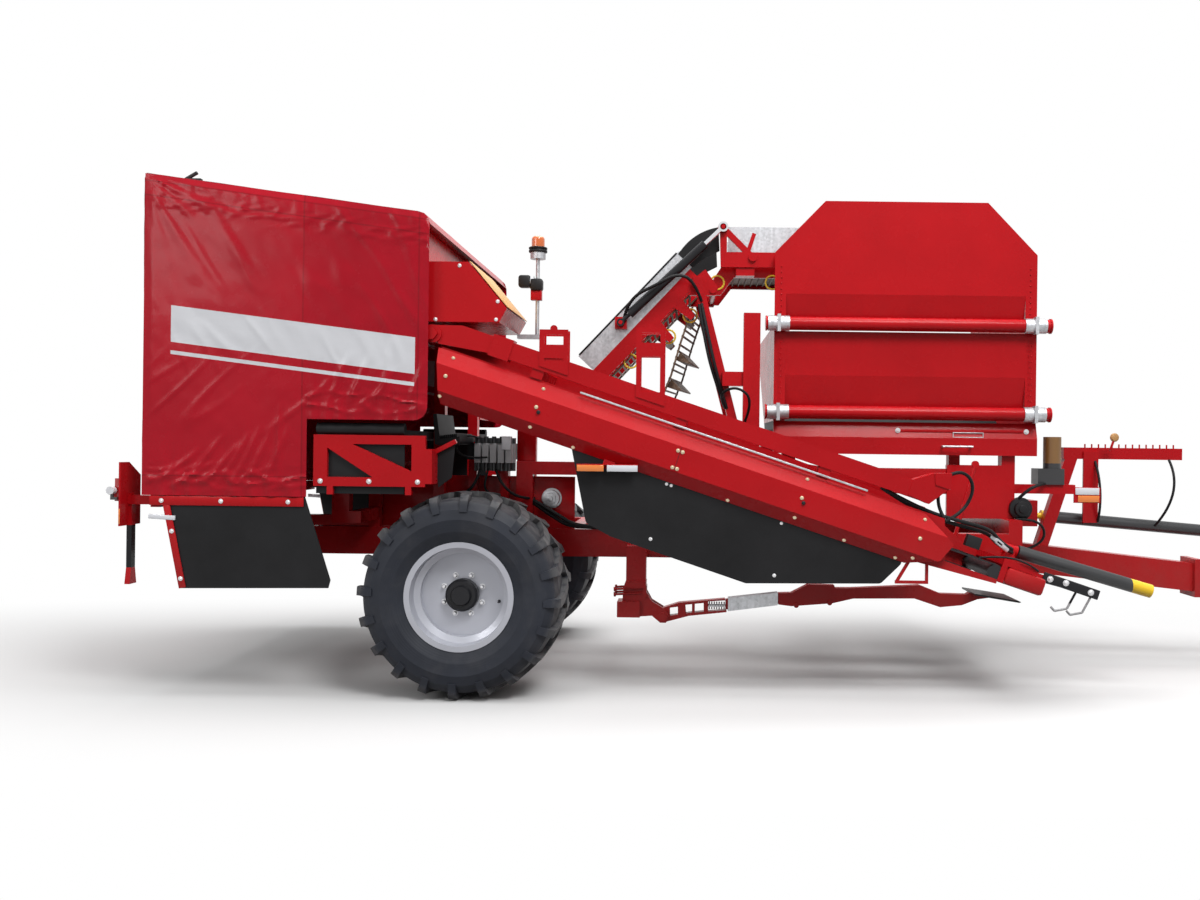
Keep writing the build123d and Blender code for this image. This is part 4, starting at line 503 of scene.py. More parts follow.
# TAN is a painted reflection on the end box's slanted face, the tan that its red face reflects; it is also the
# gauge's own colour.
TAN = Finish("tan_painted_reflection_and_gauge", (0.52, 0.28, 0.10), 0.50, uneven=0.22, grain=60.0, relief=0.0008)
PALE = Finish("pale_reflector", (0.70, 0.72, 0.76), 0.20, coat=0.6, uneven=0.06)

SOOT: Point = (0.016, 0.016, 0.018)
STEEL: Point = (0.40, 0.40, 0.41)
OCHRE: Point = (0.21, 0.105, 0.030)
FAR = 9.0
BEACON_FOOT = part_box("beacon")[0].z + 0.042


def red_with(name: str, *zones: Zone) -> ZonedFinish:
    """The red paint without its dust, with zones in other colours."""
    return ZonedFinish(name, RED.colour, RED.rough, coat=RED.coat, uneven=RED.uneven, gloss=RED.gloss, zones=zones)


NODE_FINISHES: dict[str, Finish] = {
    "beacon": ZonedFinish("beacon_lens", (0.62, 0.125, 0.010), 0.16, coat=0.8, uneven=0.10, zones=(
        Zone((-FAR, -FAR, -FAR), (FAR, FAR, BEACON_FOOT), SOOT),)),
    "valve_block": ZonedFinish("valve_paint", (0.020, 0.020, 0.022), 0.40, coat=0.1, uneven=0.3, zones=(
        Zone((fore(3.5), -FAR, 1.60), (FAR, FAR, FAR), OCHRE),
        Zone((-FAR, -FAR, 1.56), (fore(0.5), -0.66, 1.70), STEEL))),
    "haulm_roller": ZonedFinish("roller_black", (0.022, 0.023, 0.025), 0.40, coat=0.1, uneven=0.3, zones=(
        Zone((fore(4.60), -FAR, -FAR), (FAR, FAR, FAR), (0.80, 0.52, 0.015)),)),
    "intake_web": ZonedFinish("intake_rods", (0.085, 0.052, 0.034), 0.55, metal=0.4, uneven=0.4, zones=(
        Zone((fore(3.0), -FAR, -FAR), (FAR, FAR, FAR), SOOT),)),
    "nose_hood": red_with(
        "nose_paint", Zone((fore(3.93), -FAR, -FAR), (FAR, FAR, FAR), SOOT),
        Zone((fore(3.93), -FAR, -FAR), (FAR, FAR, 0.66), STEEL)),
    "rear_lamp_boards": red_with("board_paint", Zone((-FAR, -FAR, 0.842), (fore(-2.19), FAR, 1.125), SOOT)),
    "rear_lamps": ZonedFinish("lamp_lenses", (0.36, 0.008, 0.010), 0.2, coat=0.8, zones=tuple(
        Zone((-FAR, min(near, out), low), (FAR, max(near, out), FAR), colour)
        for near, out in ((-1.4402, -FAR), (1.4402, FAR))
        for low, colour in ((-FAR, SOOT), (1.337, (0.70, 0.71, 0.74))))),
    "pto_shaft": ZonedFinish("shaft_guard", (0.020, 0.021, 0.023), 0.42, coat=0.1, uneven=0.3, zones=(
        Zone((-FAR, -FAR, -FAR), (fore(4.47), FAR, FAR), (0.80, 0.55, 0.02)),)),
}


class Palette:
    """Makes each finish once."""

    def __init__(self) -> None:
        """Start empty."""
        self.made: dict[str, bpy.types.Material] = {}

    def of(self, finish: Finish) -> bpy.types.Material:
        """The material of a finish."""
        if finish.name not in self.made:
            self.made[finish.name] = finish.make()
        return self.made[finish.name]

    def dress(self, piece: bpy.types.Object, finish: Finish) -> None:
        """Give a piece one finish all over."""
        piece.data.materials.clear()
        piece.data.materials.append(self.of(finish))


palette = Palette()


def deselect() -> None:
    """Leave nothing selected and no edit mode open."""
    if bpy.context.object and bpy.context.object.mode != "OBJECT":
        bpy.ops.object.mode_set(mode="OBJECT")
    bpy.ops.object.select_all(action="DESELECT")


def aim(direction: Sequence[float]) -> Point:
    """Euler turn that points a piece's own Z along a direction."""
    turn = Vector(direction).to_track_quat("Z", "Y").to_euler()
    return (turn.x, turn.y, turn.z)


def pick(piece: bpy.types.Object, wanted: Callable[[bpy.types.MeshPolygon], bool]) -> None:
    """Open a piece for editing with only the wanted faces selected.

    Args:
        piece: the active piece.
        wanted: test of a face.
    """
    bpy.ops.object.mode_set(mode="EDIT")
    bpy.ops.mesh.select_mode(type="FACE")
    bpy.ops.mesh.select_all(action="DESELECT")
    bpy.ops.object.mode_set(mode="OBJECT")
    for face in piece.data.polygons:
        face.select = wanted(face)
    bpy.ops.object.mode_set(mode="EDIT")


def pierce(rim: float) -> None:
    """Cut a window through the two picked faces, and leave edit mode.

    Args:
        rim: width left round the window.
    """
    bpy.ops.mesh.inset(thickness=rim)
    bpy.ops.mesh.bridge_edge_loops()
    bpy.ops.object.mode_set(mode="OBJECT")


def gather(pieces: Sequence[bpy.types.Object]) -> None:
    """Join several pieces into the first one and leave it active."""
    deselect()
    for piece in pieces:
        piece.select_set(True)
    bpy.context.view_layer.objects.active = pieces[0]
    bpy.ops.object.join()


@dataclass(frozen=True)
class Stock:
    """What a piece is made of, and the body that carries it."""

    finish: Finish
    slot: Slot
    body: str = "chassis"

    def settle(self, name: str, bevel: float = 0.0) -> bpy.types.Object:
        """Apply the active piece's place, bevel and finish, and let it ride.

        Args:
            name: the piece's name.
            bevel: width of the rounded edges.

        Returns:
            The finished piece.
        """
        piece = bpy.context.object
        piece.name = name
        bpy.ops.object.transform_apply(location=True, rotation=True, scale=True)
        if bevel:
            cut = piece.modifiers.new("edges", "BEVEL")
            cut.width, cut.segments, cut.limit_method = bevel, 2, "ANGLE"
            bpy.ops.object.modifier_apply(modifier=cut.name)
        bpy.ops.object.shade_smooth_by_angle(angle=SMOOTH_ANGLE)
        palette.dress(piece, self.finish)
        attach(piece, self.body)
        log.info("%s on %s", name, self.body)
        return piece

    def cube(self, middle: Sequence[float], size: Sequence[float]) -> bpy.types.Object:
        """Start a block, its size not yet applied."""
        deselect()
        bpy.ops.mesh.primitive_cube_add(size=1.0, location=middle)
        bpy.context.object.scale = size
        return bpy.context.object

    def box(self, name: str, low: Point, high: Point, bevel: float = EDGE,
            turn: Optional[Point] = None) -> bpy.types.Object:
        """A plate or block with rounded edges.

        Args:
            name: the piece's name.
            low: lowest corner before any turn.
            high: highest corner before any turn.
            bevel: width of the rounded edges.
            turn: Euler turn about its middle.

        Returns:
            The finished piece.
        """
        piece = self.cube([(a + b) / 2 for a, b in zip(low, high)], [b - a for a, b in zip(low, high)])
        if turn:
            bpy.ops.object.transform_apply(location=False, rotation=False, scale=True)
            piece.rotation_euler = turn
        return self.settle(name, bevel)

    def window(self, name: str, low: Point, high: Point, rim: float) -> bpy.types.Object:
        """An upright plate with a window cut through it.

        Args:
            name: the piece's name.
            low: lowest corner.
            high: highest corner.
            rim: width left round the window.

        Returns:
            The finished piece.
        """
        piece = self.cube([(a + b) / 2 for a, b in zip(low, high)], [b - a for a, b in zip(low, high)])
        bpy.ops.object.transform_apply(location=True, rotation=True, scale=True)
        pick(piece, lambda face: abs(face.normal.y) > SQUARE)
        pierce(rim)
        return self.settle(name, rim * 0.2)

    def ring(self, name: str, centre: Point, facing: Facing, radius: float, thick: float) -> bpy.types.Object:
        """A round ring turned from a disc, with rounded edges.

        Args:
            name: the piece's name.
            centre: middle of the ring.
            facing: its axis.
            radius: middle radius.
            thick: radius of its section.

        Returns:
            The finished piece.
        """
        deselect()
        bpy.ops.mesh.primitive_cylinder_add(vertices=32, radius=radius + thick, depth=1.7 * thick)
        piece = bpy.context.object
        pick(piece, lambda face: abs(face.normal.z) > SQUARE)
        pierce(2 * thick)
        piece.location, piece.rotation_euler = centre, aim(facing.value)
        return self.settle(name, 0.45 * thick)

    def turned(self, name: str, foot: Point, *steps: Flat) -> bpy.types.Object:
        """A round stepped body on the machine's right, such as a motor or a gauge.

        Args:
            name: the piece's name.
            foot: middle of its widest end.
            steps: radius and length of each step, from the widest.

        Returns:
            The finished piece.
        """
        deselect()
        radius, depth = steps[0]
        middle = (0.0, 0.0, depth / 2)
        bpy.ops.mesh.primitive_cylinder_add(vertices=28, radius=radius, depth=depth, location=middle)
        piece = bpy.context.object
        bpy.ops.object.transform_apply(location=True, rotation=True, scale=True)
        pick(piece, lambda face: face.normal.z > SQUARE)
        for (before, _), (radius, depth) in zip(steps, steps[1:]):
            bpy.ops.mesh.inset(thickness=before - radius)
            bpy.ops.mesh.extrude_region_move(TRANSFORM_OT_translate={"value": (0, 0, depth)})
        bpy.ops.object.mode_set(mode="OBJECT")
        piece.location, piece.rotation_euler = foot, aim(Facing.RIGHT.value)
        return self.settle(name, EDGE)

    def beam(self, name: str, start: Point, end: Point, width: float, depth: float,
             bevel: float = EDGE) -> bpy.types.Object:
        """A straight flat bar between two points.

        Args:
            name: the piece's name.
            start: middle of one end.
            end: middle of the other end.
            width: size across the machine.
            depth: size square to the run.
            bevel: width of the rounded edges.

        Returns:
            The finished piece.
        """
        run = Vector(end) - Vector(start)
        piece = self.cube((Vector(start) + Vector(end)) / 2, (run.length, width, depth))
        bpy.ops.object.transform_apply(location=False, rotation=False, scale=True)
        piece.rotation_euler = (0.0, -math.atan2(run.z, run.x), 0.0)
        return self.settle(name, bevel)

    def slant(self, name: str, along: Flat, above: Flat, across: Flat, bevel: float = EDGE) -> bpy.types.Object:
        """A plate lying in the slanting intake.

        Args:
            name: the piece's name.
            along: its two ends down the intake.
            above: its lower and upper edge square to the intake.
            across: its outer and inner side.
            bevel: width of the rounded edges.

        Returns:
            The finished piece.
        """
        middle = intake_point(*(sum(pair) / 2 for pair in (along, above, across)))
        half = [(pair[1] - pair[0]) / 2 for pair in (along, across, above)]
        low = tuple(spot - reach for spot, reach in zip(middle, half))
        high = tuple(spot + reach for spot, reach in zip(middle, half))
        return self.box(name, low, high, bevel, (0.0, PITCH, 0.0))


def stock(slot: Slot, body: str = "chassis") -> Stock:
    """The slot's own finish on a body."""
    return Stock(FINISHES[slot], slot, body)


@dataclass
class Fastener:
    """A domed bolt head on its washer."""

    radius: float
    height: float
    washer: float

    def model(self, facing: Facing) -> bpy.types.Object:
        """Shape one bolt at the origin.

        Args:
            facing: which way the head faces.

        Returns:
            The bolt.
        """
        deselect()
        bpy.ops.mesh.primitive_cylinder_add(vertices=12, radius=self.radius * self.washer, depth=0.003)
        bolt = bpy.context.object
        pick(bolt, lambda face: face.normal.z > SQUARE)
        bpy.ops.mesh.inset(thickness=self.radius * (self.washer - 1.0))
        bpy.ops.mesh.extrude_region_move(TRANSFORM_OT_translate={"value": (0, 0, self.height * 0.6)})
        bpy.ops.mesh.inset(thickness=self.radius * 0.35, depth=self.height * 0.4)
        bpy.ops.object.mode_set(mode="OBJECT")
        bolt.rotation_euler = aim(facing.value)
        bpy.ops.object.transform_apply(location=True, rotation=True, scale=True)
        return bolt

    def place(self, name: str, spots: Iterable[Point], finish: Finish = BOLT_BRIGHT, body: str = "chassis",
              facing: Facing = Facing.RIGHT) -> bpy.types.Object:
        """Copy the bolt to each spot as one piece.

        Args:
            name: the row's name.
            spots: where the heads sit.
            finish: their plating.
            body: the body that carries them.
            facing: which way they face.

        Returns:
            The row of bolts.
        """
        first = self.model(facing)
        copies = []
        for spot in spots:
            twin = first.copy()
            twin.data = first.data.copy()
            twin.location = spot
            bpy.context.collection.objects.link(twin)
            copies.append(twin)
        bpy.data.objects.remove(first)
        gather(copies)
        return Stock(finish, Slot.ZINC, body).settle(name)


def on_body(spot: Point, body: str) -> Point:
    """The nearest point of a body's own solids.

    Args:
        spot: a point close to the body.
        body: the body's name.

    Returns:
        The point on its surface.
    """
    found: list[tuple[float, Point]] = []
    for piece in frame["nodes"].values():
        if piece.parent == frame["bodies"][body] and piece.visible_get():
            hit, near, _, _ = piece.closest_point_on_mesh(spot)
            if hit:
                found.append(((near - Vector(spot)).length, tuple(near)))
    return min(found)[1]


@dataclass
class Hose:
    """A hydraulic hose fixed to the machine at both ends."""

    name: str
    radius: float
    points: tuple[Point, ...]
    body: str = "chassis"

    def build(self) -> bpy.types.Object:
        """Lay the hose along its points, given by distance ahead of the axle.

        Returns:
            The hose.
        """
        deselect()
        spots = [(fore(x), y, z) for x, y, z in self.points]
        spots[0], spots[-1] = on_body(spots[0], self.body), on_body(spots[-1], self.body)
        bpy.ops.curve.primitive_nurbs_path_add()
        hose = bpy.context.object
        hose.name = self.name
        hose.data.splines.clear()
        line = hose.data.splines.new("NURBS")
        line.points.add(len(spots) - 1)
        for point, spot in zip(line.points, spots):
            point.co = (*spot, 1.0)
        line.order_u, line.use_endpoint_u, line.resolution_u = 3, True, 8
        flat = hose.evaluated_get(bpy.context.evaluated_depsgraph_get()).to_mesh()
        hose.data.bevel_depth, hose.data.bevel_resolution, hose.data.use_fill_caps = self.radius, 3, True
        palette.dress(hose, FINISHES[Slot.RUBBER])
        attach(hose, self.body)
        return hose


@dataclass
class Guard:
    """Bolts, seam and reflectors of the long folded guard."""

    columns: tuple[float, ...] = (0.187, 0.814, 2.650, 3.468)
    rows: tuple[float, ...] = (-0.110, -0.236, -0.372)
    seam: float = 1.800
    face: float = -1.480
    upper_fold: float = -0.172
    upper_slope: float = 0.70
    lower_fold: float = -0.342
    lower_slope: float = 0.854
    skirt: float = -1.405

    def on_skin(self, along: float, above: float) -> Point:
        """A point just proud of the guard's folded skin.

        Args:
            along: distance down the intake.
            above: height square to it.

        Returns:
            The point.
        """
        if above > self.upper_fold:
            y = self.face + (above - self.upper_fold) * self.upper_slope
        else:
            y = self.face + max(0.0, self.lower_fold - above) * self.lower_slope
        return intake_point(along, above, y - PROUD)

    def build(self) -> None:
        """Add the bolts and plates."""
        spots = [self.on_skin(a, n) for a in self.columns for n in self.rows]
        spots += [self.on_skin(self.seam + d, n) for d in (-0.016, 0.016) for n in (-0.205, -0.321)]
        spots += [self.on_skin(a, -0.408) for a in (1.121, 2.198, 3.010, 3.366)]
        Fastener(0.010, 0.008, 1.3).place("guard_bolts", spots, BOLT_GOLD, "intake")
        caps = [self.on_skin(a, -0.264) for a in (0.838, 2.671)]
        Fastener(0.012, 0.012, 1.1).place("guard_caps", caps, FINISHES[Slot.BLACK], "intake")
        seam = [intake_point(self.seam, n, self.face - PROUD / 2) for n in (-0.176, -0.338)]
        stock(Slot.BLACK, "intake").beam("guard_seam", *seam, 0.002, 0.003, PROUD / 2)
        red, pale = stock(Slot.RED, "intake"), Stock(PALE, Slot.PLASTIC, "intake")
        red.slant("reflector_bracket", (1.34, 1.42), (-0.475, -0.415), (-1.424, -1.412))
        red.box("reflector_ledge", (fore(0.765), -1.478, 1.567), (fore(1.170), -1.407, 1.573), 0.001)
        for word, made, rear, front in (("amber", stock(Slot.AMBER, "intake"), 0.769, 0.945),
                                        ("pale", pale, 0.966, 1.167)):
            made.box(f"reflector_{word}", (fore(rear), -1.486, 1.525), (fore(front), -1.470, 1.567))
        skirt = [intake_point(a, n, self.skirt) for a, n in ((1.80, -0.818), (2.652, -0.781))]
        Fastener(0.009, 0.006, 1.4).place("skirt_bolts", skirt, body="intake")
        hem = [intake_point(a, -0.440, self.skirt) for a in (1.783, 1.815, 2.585)]
        Fastener(0.008, 0.006, 1.3).place("hem_bolts", hem, body="intake")


@dataclass
class WheelTrim:
    """Wheel nuts, hub screws and the tyre valve."""

    name: str
    facing: Facing
    disc: float = 1.300
    cap: float = 1.375
    circle: float = 0.1375
    nuts: int = 8
    screw_circle: float = 0.052
    screws: int = 6
    valve_circle: float = 0.245

    def spots(self, radius: float, count: int, out: float, phase: float = 0.5) -> list[Point]:
        """Points round the wheel's axis, just proud of a face.

        Args:
            radius: their distance from the axis.
            count: how many.
            out: the face's distance from the machine's middle.
            phase: where the first one stands, in steps.

        Returns:
            The points.
        """
        turns = [math.tau * (step + phase) / count for step in range(count)]
        y = self.facing.value[1] * (out + PROUD)
        return [(AXLE_X + radius * math.cos(t), y, AXLE_Z + radius * math.sin(t)) for t in turns]

    def build(self) -> None:
        """Add the fasteners."""
        black = FINISHES[Slot.BLACK]
        for word, bolt, spots, finish in (
                ("nuts", Fastener(0.015, 0.026, 1.3), self.spots(self.circle, self.nuts, self.disc), BOLT_BRIGHT),
                ("screws", Fastener(0.008, 0.007, 1.2), self.spots(self.screw_circle, self.screws, self.cap),
                 black),
                ("valve", Fastener(0.007, 0.045, 1.6), self.spots(self.valve_circle, 1, self.disc, 0.97), black)):
            bolt.place(f"{self.name}_{word}", spots, finish, self.name, self.facing)


@dataclass
class RearTrim:
    """Strips, bolts and reflectors round the rear flap and the conveyor's end frame."""

    strip: float = 1.466
    strip_face: float = 1.473
    conveyor_face: float = 1.447
    board: Flat = (1.4405, 1.4425)

    def build(self) -> None:
        """Add strips on both flaps and the reflectors."""
        red, pale = stock(Slot.RED), Stock(PALE, Slot.PLASTIC)
        for side, word, facing in ((-1, "right", Facing.RIGHT), (1, "left", Facing.LEFT)):
            out, face = side * self.strip, side * self.strip_face
            red.beam(f"flap_edge_{word}", (fore(-1.925), out, 1.30), (fore(-1.808), out, 0.728), 0.010, 0.045)
            red.beam(f"flap_top_{word}", (fore(-2.03), out, 1.300), (fore(-1.02), out, 1.300), 0.012, 0.062)
            pale.beam(f"flap_mark_{word}", (fore(-2.035), out, 1.196), (fore(-1.86), out, 1.186), 0.016, 0.030)
            spots = [(fore(x), face, 1.300) for x in (-1.95, -1.56, -1.12)]
            spots += [(fore(x), face - side * PROUD, z) for x, z in ((-1.880, 1.10), (-1.818, 0.79))]
            Fastener(0.011, 0.008, 1.4).place(f"flap_bolts_{word}", spots, facing=facing)
            bolts = [(fore(x), side * self.conveyor_face, 1.440) for x in (-0.92, -0.60, -0.28)]
            Fastener(0.012, 0.010, 1.4).place(f"frame_bolts_{word}", bolts, facing=facing)
            right, left = sorted(side * y for y in self.board)
            low, high = (fore(-2.247), right, 1.14), (fore(-2.237), left, 1.24)
            stock(Slot.AMBER).box(f"board_amber_{word}", low, high, 0.0005)


@dataclass
class ElevatorTrim:
    """Rods under the elevator's head, roller rings and panel edging."""

    ring_y: float = -0.255
    pitch: float = 0.05
    rod: float = 0.007
    rollers: tuple[tuple[float, float, str], ...] = (
        (1.702, 2.956, "elevator_head"), (2.125, 2.961, "elevator_head"), (1.497, 2.700, "chassis"),
        (1.333, 2.536, "chassis"), (1.046, 2.344, "chassis"))

    def build(self) -> None:
        """Add rods, rings and trim."""
        low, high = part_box("head_web")
        rods = []
        for step in range(int((high.x - low.x - 0.06) / self.pitch)):
            deselect()
            spot = (low.x + 0.04 + step * self.pitch, (low.y + high.y) / 2, low.z - 0.006)
            bpy.ops.mesh.primitive_cylinder_add(vertices=8, radius=self.rod, depth=high.y - low.y - 0.01,
                                                location=spot, rotation=(math.pi / 2, 0, 0))
            pick(bpy.context.object, lambda face: abs(face.normal.z) > SQUARE)
            bpy.ops.mesh.inset(thickness=0.002)
            bpy.ops.object.mode_set(mode="OBJECT")
            rods.append(bpy.context.object)
        gather(rods)
        stock(Slot.WEB, "elevator_head").settle("head_rods")
        for word, y in (("right", -0.297), ("left", 0.417)):
            ends = [lift_point(along, 0.157, y) for along in (0.01, 1.09)]
            stock(Slot.RUBBER).beam(f"panel_edging_{word}", *ends, 0.018, 0.014, 0.004)
        for number, (x, z, body) in enumerate(self.rollers):
            ring = Stock(YELLOW, Slot.PLASTIC, body)
            ring.ring(f"roller_ring_{number}", (fore(x), self.ring_y, z), Facing.RIGHT, 0.052, 0.007)


@dataclass
class Fittings:
    """Lamps on the mast, boxes, a tan painted reflection on the end box's slanted face and the bunker's rivets."""

    mast: float = fore(0.355)
    lamp: float = 0.045
    rivet_pitch: float = 0.042

    def build(self) -> None:
        """Add the small fittings."""
        red, plastic, zinc = stock(Slot.RED), stock(Slot.PLASTIC), stock(Slot.ZINC)
        for number, (x, z) in enumerate(((-0.075, 2.892), (0.012, 2.868))):
            plastic.box(f"work_lamp_{number}", (self.mast + x - self.lamp, -0.655, z - self.lamp),
                        (self.mast + x + self.lamp, -0.565, z + self.lamp), 0.018)
        red.box("mast_bracket", (self.mast - 0.03, -0.635, 2.755), (self.mast + 0.05, -0.575, 2.83), 0.004)
        # Painted reflection: a tan plate on the end box's slanted face stands in for the tan that the red face
        # reflects.
        reflection_plate = Stock(TAN, Slot.RED)
        reflection_plate.beam("chute_face", (fore(0.034), -0.98, 2.906), (fore(0.291), -0.98, 2.601), 0.82, 0.006, 0.002)
        low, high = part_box("beacon")
        middle = ((low.x + high.x) / 2, (low.y + high.y) / 2)
        for number, (rise, radius, thick) in enumerate(((0.012, 0.056, 0.012), (0.034, 0.060, 0.008))):
            plastic.ring(f"beacon_collar_{number}", (*middle, low.z + rise), Facing.UP, radius, thick)
        plastic.box("hood_clip", (fore(-1.955), -1.250, 3.440), (fore(-1.820), -1.215, 3.468))
        hook = ((fore(-1.930), -1.232, 3.462), (fore(-1.850), -1.232, 3.510))
        plastic.beam("hood_hook", *hook, 0.020, 0.022, 0.005)
        red.beam("sill_lever", (fore(3.05), -0.477, 1.832), (fore(4.03), -0.477, 1.836), 0.010, 0.020)
        corners = ((-0.03, 2.875), (0.225, 2.640), (-0.185, 2.517), (0.215, 2.520))
        Fastener(0.009, 0.006, 1.4).place("end_box_bolts", [(fore(x), END_BOX_SIDE, z) for x, z in corners])
        Fastener(0.014, 0.010, 1.4).place("sill_bolts", [(fore(x), -0.483, 1.834) for x in (3.06, 4.02)])
        zinc.window("sill_latch_frame", (fore(3.47), -0.488, 1.785), (fore(3.70), -0.478, 1.825), 0.006)
        conduit = [intake_point(along, -0.052, -1.446) for along in (1.05, 3.05)]
        stock(Slot.ZINC, "intake").beam("conduit", *conduit, 0.012, 0.014, 0.005)
        junction = stock(Slot.PLASTIC, "intake")
        junction.slant("junction_box", (3.79, 3.89), (-0.185, -0.105), (-1.370, -1.310))
        for word, made, rear, foot, top in (("pale", Stock(PALE, Slot.PLASTIC), 4.42, 1.366, 1.418),
                                            ("amber", stock(Slot.AMBER), 4.44, 1.310, 1.360)):
            made.box(f"front_mark_{word}", (fore(rear), -0.410, foot), (fore(4.60), -0.403, top), 0.002)
        for node, foot, top in (("bunker_right_upper", 2.72, 3.14), ("bunker_right_lower", 2.02, 2.56)):
            corner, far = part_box(node)
            spots = [(x, corner.y - PROUD, foot + step * self.rivet_pitch) for x in (corner.x + 0.05, far.x - 0.05)
                     for step in range(int((top - foot) / self.rivet_pitch))]
            Fastener(0.0055, 0.004, 1.2).place(f"{node}_rivets", spots, RED)


@dataclass
class Machinery:
    """Drives, plates and boxes between the rails, and the nose's links."""

    plate: float = -0.548
    plate_thick: float = 0.010

    def build(self) -> None:
        """Add the chassis pieces, then those of the nose."""
        red, zinc, soot = stock(Slot.RED), stock(Slot.ZINC), stock(Slot.BLACK)
        inner = self.plate + self.plate_thick
        red.box("frame_plate", (fore(-0.86), self.plate, 1.08), (fore(0.66), inner, 1.46))
        red.box("guard_post", (fore(0.225), -0.538, 1.08), (fore(0.365), -0.458, 1.84), 0.006)
        red.box("long_bearer", (fore(2.30), -0.430, 1.36), (fore(3.85), -0.370, 1.55), 0.006)
        pale = Stock(PALE, Slot.PLASTIC)
        pale.box("valve_box", (fore(0.150), -0.775, 1.655), (fore(0.215), -0.690, 1.752))
        zinc.turned("web_motor", (fore(0.49), self.plate, 1.30),
                    (0.075, 0.020), (0.062, 0.055), (0.040, 0.020), (0.018, 0.012))
        soot.turned("pump", (fore(3.99), -0.42, 1.258), (0.085, 0.06), (0.055, 0.04), (0.030, 0.012))
        red.beam("gauge_stem", (fore(4.836), 0.0, 1.70), (fore(4.868), 0.0, 1.79), 0.012, 0.018)
        Stock(TAN, Slot.PLASTIC).turned("gauge", (fore(4.872), 0.012, 1.806), (0.034, 0.018), (0.028, 0.006))
        cover, link = stock(Slot.RED, "intake"), stock(Slot.BLACK, "intake")
        cover.slant("nose_cover", (4.102, 4.372), (-0.343, -0.226), (-1.415, -1.331), 0.024)
        link.slant("nose_link", (4.40, 4.80), (-0.246, -0.180), (-1.228, -1.216), 0.004)
        spots = [intake_point(a, n, -1.229) for a, n in ((4.45, -0.215), (4.56, -0.205), (4.74, -0.212))]
        Fastener(0.016, 0.014, 1.35).place("link_bolts", spots, body="intake")
        for word, shift in (("a", 0.0), ("b", 0.035)):
            start, end = (fore(3.555 + shift), -1.272, 1.112 - shift), (fore(3.625 + shift), -1.215, 1.055 - shift)
            stock(Slot.ZINC, "intake").beam(f"hose_ferrule_{word}", start, end, 0.030, 0.032, 0.008)


HOSES: tuple[Hose, ...] = (
    Hose("hose_loop", 0.007, (
        (-0.02, -0.74, 1.735), (-0.075, -0.81, 1.769), (-0.182, -0.82, 1.698), (-0.123, -0.8, 1.583),
        (0.05, -0.79, 1.6))),
    Hose("hose_drop_a", 0.008, (
        (0.055, -0.73, 1.51), (0.048, -0.79, 1.466), (0.03, -0.79, 1.375), (0.085, -0.74, 1.321),
        (0.16, -0.65, 1.3))),
    Hose("hose_drop_b", 0.01, (
        (0.11, -0.73, 1.51), (0.15, -0.8, 1.42), (0.24, -0.78, 1.33), (0.33, -0.68, 1.3),
        (0.42, -0.56, 1.3))),
    Hose("hose_drop_c", 0.01, (
        (0.0, -0.73, 1.51), (-0.03, -0.79, 1.4), (-0.12, -0.78, 1.33), (-0.2, -0.68, 1.25),
        (-0.24, -0.56, 1.2))),
    Hose("hose_motor_a", 0.014, (
        (0.5, -0.63, 1.29), (0.56, -0.68, 1.18), (0.66, -0.68, 1.115), (0.82, -0.67, 1.098),
        (1.0, -0.63, 1.085))),
    Hose("hose_motor_b", 0.014, (
        (0.47, -0.62, 1.27), (0.54, -0.66, 1.15), (0.64, -0.65, 1.1), (0.8, -0.64, 1.096),
        (0.98, -0.61, 1.085))),
    Hose("hose_pump", 0.012, (
        (3.99, -0.52, 1.3), (4.005, -0.52, 1.392), (4.131, -0.51, 1.452), (4.18, -0.48, 1.445))),
    Hose("nose_cable", 0.007, (
        (3.441, -1.36, 0.987), (3.608, -1.375, 0.995), (3.757, -1.42, 0.95), (3.906, -1.4, 0.87)), "intake"),
    Hose("hose_bunker", 0.01, (
        (1.649, -0.55, 1.957), (1.704, -0.58, 2.079), (1.843, -0.65, 2.145), (1.974, -0.62, 2.043),
        (1.913, -0.55, 1.879))),
    Hose("hose_boom_end", 0.0115, (
        (3.234, -1.3, 1.244), (3.159, -1.32, 1.319), (3.19, -1.34, 1.504), (3.338, -1.33, 1.562),
        (3.428, -1.3, 1.449), (3.354, -1.27, 1.267), (3.28, -1.25, 1.22)), "intake"),
    Hose("hose_rail_rear", 0.01, (
        (4.774, -0.02, 1.613), (4.775, -0.05, 1.374), (4.942, 0.05, 1.13))),
    Hose("hose_rail_front", 0.01, (
        (5.376, -0.02, 1.632), (5.41, -0.05, 1.38), (5.312, 0.08, 1.12))),
    Hose("hose_cylinder", 0.012, (
        (0.999, -0.44, 2.717), (1.036, -0.46, 2.8), (1.261, -0.49, 2.91), (1.402, -0.49, 2.985),
        (1.521, -0.47, 2.94), (1.582, -0.45, 2.801))),
    Hose("hose_leg_a", 0.013, (
        (1.582, -0.42, 2.78), (1.64, -0.42, 2.506), (1.7, -0.42, 2.246), (1.782, -0.42, 1.986))),
    Hose("hose_leg_b", 0.013, (
        (1.555, -0.4, 2.77), (1.61, -0.4, 2.506), (1.672, -0.4, 2.246), (1.75, -0.4, 1.986))),
    Hose("hose_nose_a", 0.013, (
        (2.776, -1.37, 1.426), (3.054, -1.37, 1.29), (3.333, -1.35, 1.215), (3.532, -1.3, 1.165),
        (3.636, -1.2, 1.06), (3.757, -1.05, 1.01)), "intake"),
    Hose("hose_nose_b", 0.013, (
        (2.776, -1.34, 1.4), (3.054, -1.34, 1.262), (3.333, -1.32, 1.185), (3.532, -1.26, 1.135),
        (3.616, -1.15, 1.05), (3.757, -1.02, 0.985)), "intake"),
    Hose("hose_valve", 0.01, (
        (3.993, -0.5, 1.23), (4.137, -0.54, 1.192), (4.168, -0.49, 0.978), (4.132, -0.42, 0.929))),
)


